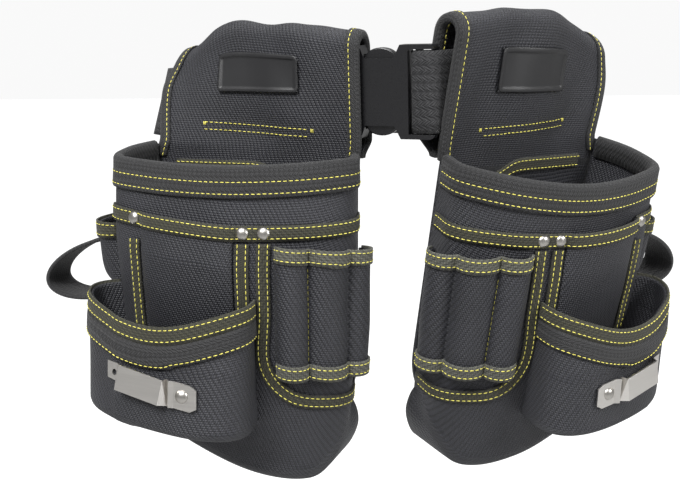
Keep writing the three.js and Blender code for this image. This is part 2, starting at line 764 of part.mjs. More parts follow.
  const holder = new THREE.Group();
  holder.position.set(hang.side * hang.across, hang.back, hang.up);
  holder.rotation.order = 'ZXY';
  holder.rotation.set(degToRad(hang.swing), degToRad(hang.side * hang.lean), degToRad(hang.side * hang.turn));
  holder.updateMatrixWorld();
  const name = hang.side < 0 ? 'left' : 'right';
  for (const [piece, [geometry, finish]] of Object.entries(pieces)) {
    addPiece(holder, `${name}_${piece}`, hang.side > 0 ? mirrored(geometry) : geometry, finish);
  }
  // Where the webbing runs inside the tunnel, and which way is up there
  holder.userData.tunnel = (x, back = webbingBack) => {
    const sag = beltSag * smoothstep(-x / flapOuter, 0, 1);
    const at = (z) => {
      const point = leaned(new THREE.Vector3(x, back, webbingUp - sag + z));
      point.x *= -hang.side;
      return holder.localToWorld(point);
    };
    const up = at(webbingWidth / 2).sub(at(-webbingWidth / 2)).normalize();
    return { point: at(0), up };
  };
  return holder;
}

function mirrored(geometry) {
  const { index } = geometry.scale(-1, 1, 1);
  for (let k = 0; k < index.count; k += 3) {
    const first = index.getX(k);
    index.setX(k, index.getX(k + 1));
    index.setX(k + 1, first);
  }
  return geometry;
}

function addPiece(parent, name, geometry, finish) {
  geometry.computeVertexNormals();
  const mesh = new THREE.Mesh(geometry, finish);
  mesh.name = name;
  parent.add(mesh);
}

// Buckle, in the left pouch's frame, in line with its tunnel: X along the belt
const webbingBack = panelWall + foldRadius - 1.2;
const buckleFrom = flapInner - 3;
const loopRadius = barThickness * Math.SQRT1_2 + webbingThickness / 2 + 1.5 * gap;
const bayHalf = webbingWidth / 2 + 2 * gap;
const femaleBar = buckleFrom + buckleLength - barReach + barThickness / 2;
const maleBar = buckleFrom - 3 * gap - collarLength - loopRadius - webbingThickness / 2 - gap;

// The opening beside a bar, in which the webbing turns, and the bar made slimmer than the frame
function cutBay(solid, barMiddle, from, to, thickness) {
  const half = barThickness / 2;
  const far = thickness;
  const low = webbingUp - bayHalf;
  const high = webbingUp + bayHalf;
  return solid
    .subtract(block(from, barMiddle - half, webbingBack - far, webbingBack + far, low, high))
    .subtract(block(barMiddle + half, to, webbingBack - far, webbingBack + far, low, high))
    .subtract(block(from, to, webbingBack - far, webbingBack - half, low, high))
    .subtract(block(from, to, webbingBack + half, webbingBack + far, low, high));
}

function roundedPlate(fromX, toX, height, thickness) {
  const shape = new THREE.Shape();
  const [low, high] = [-height / 2, height / 2];
  const r = buckleRound;
  shape.moveTo(fromX + r, low).lineTo(toX - r, low);
  shape.absarc(toX - r, low + r, r, -Math.PI / 2, 0);
  shape.lineTo(toX, high - r);
  shape.absarc(toX - r, high - r, r, 0, Math.PI / 2);
  shape.lineTo(fromX + r, high);
  shape.absarc(fromX + r, high - r, r, Math.PI / 2, Math.PI);
  shape.lineTo(fromX, low + r);
  shape.absarc(fromX + r, low + r, r, Math.PI, 1.5 * Math.PI);
  const geometry = new THREE.ExtrudeGeometry(shape, { depth: thickness, bevelEnabled: false, curveSegments: 3 });
  return toSolid(geometry.translate(0, 0, -thickness / 2).rotateX(Math.PI / 2).translate(0, webbingBack, webbingUp));
}

const cavityHalf = buckleHeight / 2 - notchDepth + 2.5;
const cavityLength = buckleLength - barReach - 9;
function buckleFemale() {
  let solid = roundedPlate(buckleFrom, buckleFrom + buckleLength, buckleHeight, buckleThickness);
  const half = buckleThickness;
  for (const side of [-1, 1]) {
    const edge = (buckleHeight / 2) * side;
    const floor = (buckleHeight / 2 - notchDepth) * side;
    const notch = new THREE.Shape();
    notch.moveTo(buckleFrom + 3, edge * 1.1);
    notch.lineTo(buckleFrom + 3, edge);
    notch.lineTo(buckleFrom + 6, floor);
    notch.lineTo(buckleFrom + notchLength, floor);
    notch.lineTo(buckleFrom + notchLength + 4, edge);
    notch.lineTo(buckleFrom + notchLength + 4, edge * 1.1);
    const cutter = new THREE.ExtrudeGeometry(notch, { depth: 2 * half, bevelEnabled: false });
    cutter.translate(0, 0, -half).rotateX(Math.PI / 2).translate(0, webbingBack, webbingUp);
    solid = solid.subtract(toSolid(cutter));
  }
  const inner = prongThickness / 2 + 2 * gap;
  solid = solid.subtract(block(buckleFrom - 1, buckleFrom + cavityLength, webbingBack - inner,
    webbingBack + inner, webbingUp - cavityHalf, webbingUp + cavityHalf));
  const bayFrom = femaleBar - loopRadius - webbingThickness / 2 - 2 * gap;
  return fromSolid(cutBay(solid, femaleBar, bayFrom, buckleFrom + buckleLength + 1, half));
}

function buckleMale() {
  const end = buckleFrom - gap;
  const start = end - collarLength - barReach;
  const frame = roundedPlate(start, end, buckleHeight - 2, collarThickness);
  let solid = cutBay(frame, maleBar, start - 1, end - collarLength, collarThickness);
  const half = prongThickness / 2;
  const reach = buckleFrom + cavityLength - 4;
  const outer = cavityHalf - 2 * gap;
  const prongs = [[-outer, -outer + prongHeight], [-4, 4], [outer - prongHeight, outer]];
  for (const [low, high] of prongs) {
    solid = solid.add(block(end - 2, reach, webbingBack - half, webbingBack + half, webbingUp + low, webbingUp + high));
  }
  return fromSolid(solid);
}

// Belt: one strip of webbing from bar to bar, through both tunnels and round the back
function beltWebbing(leftPouch, rightPouch) {
  const left = (x, back) => leftPouch.userData.tunnel(x, back);
  const right = (x, back) => rightPouch.userData.tunnel(x, back);
  const atBar = (x, back) => {
    const at = (z) => leftPouch.localToWorld(new THREE.Vector3(x, back, webbingUp + z));
    return { point: at(0), up: at(1).sub(at(0)) };
  };
  const waistStop = (exit, turn) => {
    const angle = turn * Math.PI * 0.5;
    const up = new THREE.Vector3(0, 0, 1);
    const point = new THREE.Vector3(
      exit.point.x * Math.cos(angle),
      lerp(exit.point.y, waistDepth, Math.sin(angle)),
      lerp(exit.point.z, -waistSag, Math.sin(angle)),
    );
    return { point, up };
  };
  const tunnelStops = [0.75, 0.35, 0, -0.35, -0.7, -0.95, -1.17].map((share) => share * flapInner);
  const waistTurns = [0.28, 0.55, 0.8];
  const rightExit = right(tunnelStops.at(-1));
  const leftExit = left(tunnelStops.at(-1));
  const loopRound = (bar, way) => [
    atBar(bar + way * (barReach - 3), webbingBack + loopRadius),
    ...evenSteps(4, 0, Math.PI).map((angle) => (
      atBar(bar - way * loopRadius * Math.sin(angle), webbingBack + loopRadius * Math.cos(angle))
    )),
    atBar(bar + way * (barReach - 4), webbingBack - loopRadius),
  ];
  const stops = [
    ...loopRound(femaleBar, 1),
    ...tunnelStops.map((x) => right(x)),
    ...waistTurns.map((turn) => waistStop(rightExit, turn)),
    waistStop(rightExit, 1),
    ...waistTurns.toReversed().map((turn) => waistStop(leftExit, turn)),
    ...tunnelStops.slice(1).toReversed().map((x) => left(x)),
    ...loopRound(maleBar, -1).toReversed(),
  ];
  const path = new THREE.CatmullRomCurve3(stops.map((stop) => stop.point), false, 'centripetal');
  const ups = new THREE.CatmullRomCurve3(stops.map((stop) => stop.up), false, 'centripetal');
  const half = webbingWidth / 2;
  const thin = webbingThickness / 2;
  const section = [
    new THREE.Vector2(-half, -thin),
    new THREE.Vector2(half, -thin),
    new THREE.Vector2(half, thin),
    new THREE.Vector2(-half, thin),
  ];
  const rings = evenSteps((stops.length - 1) * 3).map((t) => {
    const centre = path.getPoint(t);
    const up = ups.getPoint(t).normalize();
    const out = new THREE.Vector3().crossVectors(path.getTangent(t), up).normalize();
    return section.map((p) => centre.clone().addScaledVector(up, p.x).addScaledVector(out, p.y));
  });
  return loft(rings, section);
}

const group = new THREE.Group();
const leftPouch = makePouch(hangs.left);
const rightPouch = makePouch(hangs.right);
addPiece(leftPouch, 'buckle_female', buckleFemale(), materials.plastic);
addPiece(leftPouch, 'buckle_male', buckleMale(), materials.plastic);
addPiece(group, 'belt_webbing', beltWebbing(leftPouch, rightPouch), materials.webbing);
group.add(leftPouch, rightPouch);
group.position.y = -waistDepth / 2;

export default group;
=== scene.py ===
import bpy
import bmesh
import math
from mathutils import Euler, Matrix, Vector, noise


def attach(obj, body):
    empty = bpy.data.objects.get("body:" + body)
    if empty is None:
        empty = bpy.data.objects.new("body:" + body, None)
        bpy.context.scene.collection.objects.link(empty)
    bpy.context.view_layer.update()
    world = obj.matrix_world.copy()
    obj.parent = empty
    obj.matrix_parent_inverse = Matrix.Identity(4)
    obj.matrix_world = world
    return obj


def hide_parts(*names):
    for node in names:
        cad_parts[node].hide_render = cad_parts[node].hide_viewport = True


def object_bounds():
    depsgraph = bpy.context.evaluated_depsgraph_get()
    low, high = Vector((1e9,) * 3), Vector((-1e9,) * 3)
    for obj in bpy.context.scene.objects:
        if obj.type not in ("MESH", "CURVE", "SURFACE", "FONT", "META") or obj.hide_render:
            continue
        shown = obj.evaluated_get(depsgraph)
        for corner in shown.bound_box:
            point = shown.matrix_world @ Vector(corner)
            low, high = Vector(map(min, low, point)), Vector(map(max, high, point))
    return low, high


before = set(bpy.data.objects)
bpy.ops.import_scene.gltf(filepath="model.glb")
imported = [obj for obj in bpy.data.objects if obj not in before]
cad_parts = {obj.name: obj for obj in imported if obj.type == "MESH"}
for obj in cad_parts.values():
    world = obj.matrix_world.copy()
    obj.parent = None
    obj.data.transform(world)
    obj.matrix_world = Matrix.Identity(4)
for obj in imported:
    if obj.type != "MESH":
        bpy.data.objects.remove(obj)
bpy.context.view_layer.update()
print("stage: frame loaded")

mm = 0.001
waist = {"depth": 236, "width": 50, "wall": 2, "up": 5, "sag": 30, "slack": 8}
body = {
    "half": 79, "depth": 62, "rim": 29, "slope": 5, "drop": 236, "outerRise": 46, "innerRise": 40, "round": 9,
    "cloth": 1.6,
}
flap = {
    "height": 45, "radius": 9.5, "inner": 71, "outer": 70, "bulge": 7, "droop": 20, "sewn": 36, "trim": 7,
    "foot": 14, "wall": 2.2,
}
tapeWall = 1.3
ribWall = 2.2
binding = {"height": 9.5, "above": 1.5}  # the tape round a pocket's mouth
seatGap = 0.3

# how each pouch hangs, as in the part
hangs = {
    "left": dict(side=-1, across=92, back=31, up=-6, turn=22.3, swing=0, lean=1.5, mouth=0.86, dip=4,
                 droop=1, crown=6, peak=-0.45, flapLean=24),
    "right": dict(side=1, across=86, back=34.6, up=-7, turn=36.5, swing=9, lean=2.5, mouth=0.96, dip=9,
                  droop=0.4, crown=11, peak=0.1, flapLean=6),
}
wallPlan = [(-0.95, 0), (-1.02, 0.5), (-0.93, 0.9), (-0.6, 1.02), (0, 1.02), (0.36, 0.93), (0.68, 0.75),
            (0.94, 0.38), (0.88, 0)]
wallSections = [  # drop, width, depth, mouth
    (0, 1, 1, 1), (0.12, 1, 1.01, 0.5), (0.3, 0.995, 1.03, 0), (0.6, 0.97, 1.05, 0), (0.85, 0.92, 1.04, 0),
    (1.2, 0.84, 1.01, 0),
]


def mix(a, b, t):
    return a + (b - a) * t


def clamp(value, low=0.0, high=1.0):
    return max(low, min(high, value))


def smooth(value, low, high):
    t = clamp((value - low) / (high - low))
    return t * t * (3 - 2 * t)


def tableMix(table, value, column):
    for a, b in zip(table, table[1:]):
        if value <= b[0]:
            break
    return mix(a[column], b[column], (value - a[0]) / (b[0] - a[0]))


def bulge(s, power):
    return max(0.0, 1 - abs(2 * s - 1) ** power) ** (1 / power)


def eased(s):
    return 0.5 - 0.5 * math.cos(math.pi * s)


# length from the first point to each
def lengthsAlong(points):
    marks = [0.0]
    for a, b in zip(points, points[1:]):
        marks.append(marks[-1] + (b - a).length)
    return marks


# a smooth line through points, its parameter even along its length
def smoothLine(points, samples=400):
    points = [Vector(p) for p in points]
    ends = [2 * points[0] - points[1], *points, 2 * points[-1] - points[-2]]
    fine = []
    spans = len(points) - 1
    each = max(2, samples // spans)
    for k in range(spans):
        a, b, c, d = ends[k:k + 4]
        t1 = (b - a).length ** 0.5
        t2 = t1 + (c - b).length ** 0.5
        t3 = t2 + (d - c).length ** 0.5
        for step in range(each):
            t = mix(t1, t2, step / each)
            ab = a * ((t1 - t) / t1) + b * (t / t1)
            bc = b * ((t2 - t) / (t2 - t1)) + c * ((t - t1) / (t2 - t1))
            cd = c * ((t3 - t) / (t3 - t2)) + d * ((t - t2) / (t3 - t2))
            abc = ab * ((t2 - t) / t2) + bc * (t / t2)
            bcd = bc * ((t3 - t) / (t3 - t1)) + cd * ((t - t1) / (t3 - t1))
            fine.append(abc * ((t2 - t) / (t2 - t1)) + bcd * ((t - t1) / (t2 - t1)))
    fine.append(points[-1])
    marks = lengthsAlong(fine)
    total = marks[-1]

    def at(share):
        goal = clamp(share) * total
        low, high = 0, len(marks) - 1
        while high - low > 1:
            middle = (low + high) // 2
            if marks[middle] <= goal:
                low = middle
            else:
                high = middle
        span = marks[high] - marks[low]
        return fine[low].lerp(fine[high], (goal - marks[low]) / span if span else 0)
    return at, total


# plan of a rounded pocket, even along its length: gives the share across and the share of its depth
def roundPlan(span, reach, power, steps=48):
    corners = []
    for k in range(steps + 1):
        angle = math.pi * (1 - k / steps)
        across = 0.5 + 0.5 * math.copysign(abs(math.cos(angle)) ** (2 / power), math.cos(angle))
        corners.append((across * span, abs(math.sin(angle)) ** (2 / power) * reach, 0))
    line, length = smoothLine(corners, steps * 10)

    def at(q):
        point = line(q)
        return clamp(point.x / span), max(0.0, point.y / reach)
    return at, length


wallAt, wallLength = smoothLine([(x * body["half"], -y * body["depth"], 0) for x, y in wallPlan])


# materials

def newGroup(name, inputs, outputs):
    group = bpy.data.node_groups.new(name, "ShaderNodeTree")
    for label, kind, value in inputs:
        socket = group.interface.new_socket(name=label, in_out="INPUT", socket_type=kind)
        socket.default_value = value
    for label, kind in outputs:
        group.interface.new_socket(name=label, in_out="OUTPUT", socket_type=kind)
    return group, group.nodes.new("NodeGroupInput"), group.nodes.new("NodeGroupOutput")


def mathNode(tree, operation, a, b=None):
    node = tree.nodes.new("ShaderNodeMath")
    node.operation = operation
    for socket, value in zip(node.inputs, (a, b)):
        if value is None:
            continue
        if isinstance(value, (int, float)):
            socket.default_value = value
        else:
            tree.links.new(value, socket)
    return node.outputs[0]


# the tone on the worn thread tops lightens them partly for wear and partly as a painted glint, leaving the
# hollows between threads as painted shade
weaveLook = {
    "patchScale": 28, "patchDetail": 5, "wander": 0.002, "checker": 0.35, "fineScale": 900, "wornGlintTone": 0.9,
    "patchTone": 0.35,
}


# threads crossing on the cloth's own map: height of the weave, a mask of the worn tops that also paints a
# glint on the thread tops and shade in the hollows between them, a slow patchiness
def makeWeave():
    inputs = [
        ("Map", "NodeSocketVector", (0, 0, 0)), ("Pitch", "NodeSocketFloat", 0.0012),
        ("Across", "NodeSocketFloat", 1.0), ("Along", "NodeSocketFloat", 1.0),
        ("Slant", "NodeSocketFloat", 0.0), ("Zigzag", "NodeSocketFloat", 1.0),
    ]
    outputs = [("Height", "NodeSocketFloat"), ("WornGlint", "NodeSocketFloat"), ("Patch", "NodeSocketFloat")]
    group, start, end = newGroup("clothWeave", inputs, outputs)
    link = group.links.new
    split = group.nodes.new("ShaderNodeSeparateXYZ")
    link(start.outputs["Map"], split.inputs[0])
    slow = group.nodes.new("ShaderNodeTexNoise")
    slow.inputs["Scale"].default_value = weaveLook["patchScale"]
    slow.inputs["Detail"].default_value = weaveLook["patchDetail"]
    link(start.outputs["Map"], slow.inputs["Vector"])
    wander = mathNode(group, "MULTIPLY", slow.outputs["Fac"], weaveLook["wander"])
    positive = mathNode(group, "ADD", split.outputs["Y"], 1.0)
    turned = mathNode(group, "PINGPONG", positive, start.outputs["Zigzag"])
    slant = mathNode(group, "MULTIPLY", turned, start.outputs["Slant"])
    slanted = mathNode(group, "ADD", mathNode(group, "ADD", split.outputs["X"], slant), wander)
    u = mathNode(group, "DIVIDE", slanted, start.outputs["Pitch"])
    v = mathNode(group, "DIVIDE", mathNode(group, "ADD", split.outputs["Y"], wander), start.outputs["Pitch"])

    def threads(count, way):
        turns = mathNode(group, "MULTIPLY", mathNode(group, "MULTIPLY", count, start.outputs[way]), math.pi)
        return mathNode(group, "ABSOLUTE", mathNode(group, "SINE", turns))
    crossing = mathNode(group, "MULTIPLY", threads(u, "Across"), threads(v, "Along"))
    checker = mathNode(group, "SINE", mathNode(group, "MULTIPLY", mathNode(group, "ADD", u, v), math.pi))
    height = mathNode(group, "ADD", crossing, mathNode(group, "MULTIPLY", checker, weaveLook["checker"]))
    link(height, end.inputs["Height"])
    fine = group.nodes.new("ShaderNodeTexNoise")
    fine.inputs["Scale"].default_value = weaveLook["fineScale"]
    link(start.outputs["Map"], fine.inputs["Vector"])
    # worn tops and painted light: the weave's crests get a painted glint, its hollows between threads stay
    # dark as painted shade
    wornGlint = mathNode(group, "MULTIPLY", height, fine.outputs["Fac"])
    link(wornGlint, end.inputs["WornGlint"])
    link(slow.outputs["Fac"], end.inputs["Patch"])
    return group


weave = makeWeave()


def clothMaterial(name, dark, light, pitch, across=1.0, along=1.0, slant=0.0, zigzag=1.0, bump=0.00025,
                  rough=0.78, sheen=0.06):
    material = bpy.data.materials.new(name)
    material.use_nodes = True
    tree = material.node_tree
    shader = tree.nodes["Principled BSDF"]
    uvMap = tree.nodes.new("ShaderNodeUVMap")
    uvMap.uv_map = "cloth"
    woven = tree.nodes.new("ShaderNodeGroup")
    woven.node_tree = weave
    for label, value in (("Pitch", pitch), ("Across", across), ("Along", along), ("Slant", slant),
                         ("Zigzag", zigzag)):
        woven.inputs[label].default_value = value
    tree.links.new(uvMap.outputs["UV"], woven.inputs["Map"])
    tone = tree.nodes.new("ShaderNodeMix")
    tone.data_type = "RGBA"
    tone.inputs["A"].default_value = (*dark, 1)
    tone.inputs["B"].default_value = (*light, 1)
    # cloth colour: thread tops lighter for wear and as a painted glint, hollows between threads darker as
    # painted shade, plus random patchiness
    amount = mathNode(tree, "ADD", mathNode(tree, "MULTIPLY", woven.outputs["WornGlint"], weaveLook["wornGlintTone"]),
                      mathNode(tree, "MULTIPLY", woven.outputs["Patch"], weaveLook["patchTone"]))
    tree.links.new(amount, tone.inputs["Factor"])
    tree.links.new(tone.outputs["Result"], shader.inputs["Base Color"])
    lift = tree.nodes.new("ShaderNodeBump")
    lift.inputs["Distance"].default_value = bump
    lift.inputs["Strength"].default_value = 0.9
    tree.links.new(woven.outputs["Height"], lift.inputs["Height"])
    tree.links.new(lift.outputs["Normal"], shader.inputs["Normal"])
    shader.inputs["Roughness"].default_value = rough
    shader.inputs["Sheen Weight"].default_value = sheen
    shader.inputs["Sheen Roughness"].default_value = 0.5
    return material


def hardMaterial(name, colour, rough, metal=0.0, grain=400.0, bump=0.00004, spread=0.12, stretch=(1, 1, 1)):
    material = bpy.data.materials.new(name)
    material.use_nodes = True
    tree = material.node_tree
    shader = tree.nodes["Principled BSDF"]
    place = tree.nodes.new("ShaderNodeTexCoord")
    mapping = tree.nodes.new("ShaderNodeMapping")
    mapping.inputs["Scale"].default_value = stretch
    speckle = tree.nodes.new("ShaderNodeTexNoise")
    speckle.inputs["Scale"].default_value = grain
    speckle.inputs["Detail"].default_value = 4
    tree.links.new(place.outputs["Object"], mapping.inputs["Vector"])
    tree.links.new(mapping.outputs["Vector"], speckle.inputs["Vector"])
    tone = tree.nodes.new("ShaderNodeMix")
    tone.data_type = "RGBA"
    tone.inputs["A"].default_value = (*[c * (1 - spread) for c in colour], 1)
    tone.inputs["B"].default_value = (*[min(1, c * (1 + spread)) for c in colour], 1)
    tree.links.new(speckle.outputs["Fac"], tone.inputs["Factor"])
    tree.links.new(tone.outputs["Result"], shader.inputs["Base Color"])
    rougher = mathNode(tree, "ADD", mathNode(tree, "MULTIPLY", speckle.outputs["Fac"], 0.2), rough - 0.1)
    tree.links.new(rougher, shader.inputs["Roughness"])
    lift = tree.nodes.new("ShaderNodeBump")
    lift.inputs["Distance"].default_value = bump
    lift.inputs["Strength"].default_value = 0.6
    tree.links.new(speckle.outputs["Fac"], lift.inputs["Height"])
    tree.links.new(lift.outputs["Normal"], shader.inputs["Normal"])
    shader.inputs["Metallic"].default_value = metal
    return material


finishes = {
    "fabric": clothMaterial("ballisticNylon", (0.001, 0.001, 0.002), (0.028, 0.029, 0.038), 0.0014, slant=0.5,
                            bump=0.00035, rough=0.6, sheen=0.03),
    "webbing": clothMaterial("ribbedWebbing", (0.004, 0.004, 0.004), (0.026, 0.026, 0.028), 0.0015, along=0.7,
                             slant=1.0, zigzag=0.0028, bump=0.00035),
    "beltRib": clothMaterial("beltWebbing", (0.003, 0.003, 0.004), (0.027, 0.027, 0.029), 0.0021, along=0.4,
                             slant=1.1, zigzag=0.003, bump=0.0005),
    "tape": clothMaterial("bindingTape", (0.007, 0.007, 0.004), (0.045, 0.043, 0.022), 0.0016,
                          across=1.5, bump=0.0003),
    "lightTape": clothMaterial("lightBindingTape", (0.02, 0.02, 0.016), (0.12, 0.12, 0.095), 0.0016,
                               across=1.5, bump=0.0003),
    "rubber": hardMaterial("patchRubber", (0.009, 0.009, 0.01), 0.48, grain=900),
    "plastic": hardMaterial("bucklePlastic", (0.006, 0.006, 0.007), 0.3, grain=1300),
    "nickel": hardMaterial("nickelRivet", (0.4, 0.385, 0.36), 0.34, 1.0, grain=700, spread=0.1),
    "steel": hardMaterial("brushedSteel", (0.62, 0.6, 0.57), 0.34, 1.0, grain=500, spread=0.06,
                          stretch=(0.08, 0.08, 3)),
    "thread": hardMaterial("yellowThread", (0.62, 0.56, 0.11), 0.6, grain=2500, spread=0.25, bump=0.00015),
}
print("stage: materials")


# cloth sheet: a grid laid on a surface, with the cloth's own map, then given its thickness
def gridSheet(name, columns, rows, pointAt, mapAt, finish, wall, flip, slotName="fabric", across=None):
    sheet = bmesh.new()
    cloth = sheet.loops.layers.uv.new("cloth")
    bmesh.ops.create_grid(sheet, x_segments=columns, y_segments=rows, size=0.5)
    acrossAt = across or (lambda s: s)
    for face in sheet.faces:
        for loop in face.loops:
            loop[cloth].uv = mapAt(acrossAt(loop.vert.co.x + 0.5), loop.vert.co.y + 0.5)
    for vert in sheet.verts:
        vert.co = pointAt(acrossAt(vert.co.x + 0.5), vert.co.y + 0.5)
    if flip:
        bmesh.ops.reverse_faces(sheet, faces=sheet.faces)
    for face in sheet.faces:
        face.smooth = True
    return finishPiece(sheet, name, finish, slotName, wall)


def finishPiece(sheet, name, finish, slotName, wall=0.0):
    mesh = bpy.data.meshes.new(name)
    sheet.to_mesh(mesh)
    sheet.free()
    piece = bpy.data.objects.new(name, mesh)
    bpy.context.scene.collection.objects.link(piece)
    piece.data.materials.append(finishes[finish])
    if wall:
        thick = piece.modifiers.new("wall", "SOLIDIFY")
        thick.thickness = wall * mm
        thick.offset = -1
        thick.use_even_offset = False
        thick.use_quality_normals = True
    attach(piece, "root")
    return piece


# a closed band: the section's corners go round, the line goes along
def bandSheet(name, stops, sectionCount, pointAt, mapAt, finish, slotName):
    sheet = bmesh.new()
    cloth = sheet.loops.layers.uv.new("cloth")
    bmesh.ops.create_grid(sheet, x_segments=len(stops) - 1, y_segments=sectionCount, size=0.5)
    last = len(stops) - 1

    def read(vert):
        return round((vert.co.x + 0.5) * last), round((vert.co.y + 0.5) * sectionCount)
    for face in sheet.faces:
        for loop in face.loops:
            column, row = read(loop.vert)
            loop[cloth].uv = mapAt(stops[column], row)
    for vert in sheet.verts:
        column, row = read(vert)
        vert.co = pointAt(stops[column], row % sectionCount)
    bmesh.ops.remove_doubles(sheet, verts=sheet.verts, dist=1e-7)
    bmesh.ops.holes_fill(sheet, edges=[edge for edge in sheet.edges if edge.is_boundary], sides=0)
    bmesh.ops.recalc_face_normals(sheet, faces=sheet.faces)
    for face in sheet.faces:
        face.smooth = len(face.verts) < 5
    return finishPiece(sheet, name, finish, slotName)


# sewing: short rounded stitches laid along a line
thread = {"stitch": 2.4, "space": 1.1, "radius": 0.32, "halfShare": 0.56}


def sewLine(seam, line):
    row = bmesh.new()
    marks = lengthsAlong(line)
    pitch = (thread["stitch"] + thread["space"]) * mm
    count = int(marks[-1] / pitch)

    def at(goal):
        k = 0
        while k < len(marks) - 2 and marks[k + 1] < goal:
            k += 1
        span = marks[k + 1] - marks[k]
        return line[k].lerp(line[k + 1], clamp((goal - marks[k]) / span) if span else 0)
    for k in range(count):
        a = at(k * pitch)
        b = at(k * pitch + thread["stitch"] * mm)
        along = b - a
        if along.length < 1e-6:
            continue
        thick = thread["radius"] * mm
        size = Matrix.Diagonal((thick, thick, along.length * thread["halfShare"], 1))
        turn = along.to_track_quat("Z", "Y").to_matrix().to_4x4()
        bmesh.ops.create_uvsphere(row, u_segments=6, v_segments=4, radius=1,
                                  matrix=Matrix.Translation((a + b) / 2) @ turn @ size)
    mesh = bpy.data.meshes.new("row")
    row.to_mesh(mesh)
    row.free()
    seam.from_mesh(mesh)
    bpy.data.meshes.remove(mesh)


# folds and dents of worn cloth, in mm off the surface: flat near edges and just under the mouth
folds = {"wall": 1.7, "flap": 2.7, "front": 1.0, "size": 0.02, "edge": 16, "belowMouth": (4, 40)}


def foldAt(x, z, seed, strength):
    here = Vector((x * folds["size"], z * folds["size"] * 0.7, seed))
    broad = noise.noise(here) + 0.5 * noise.noise(here * 2.3 + Vector((3, 1, 0)))
    return strength * broad


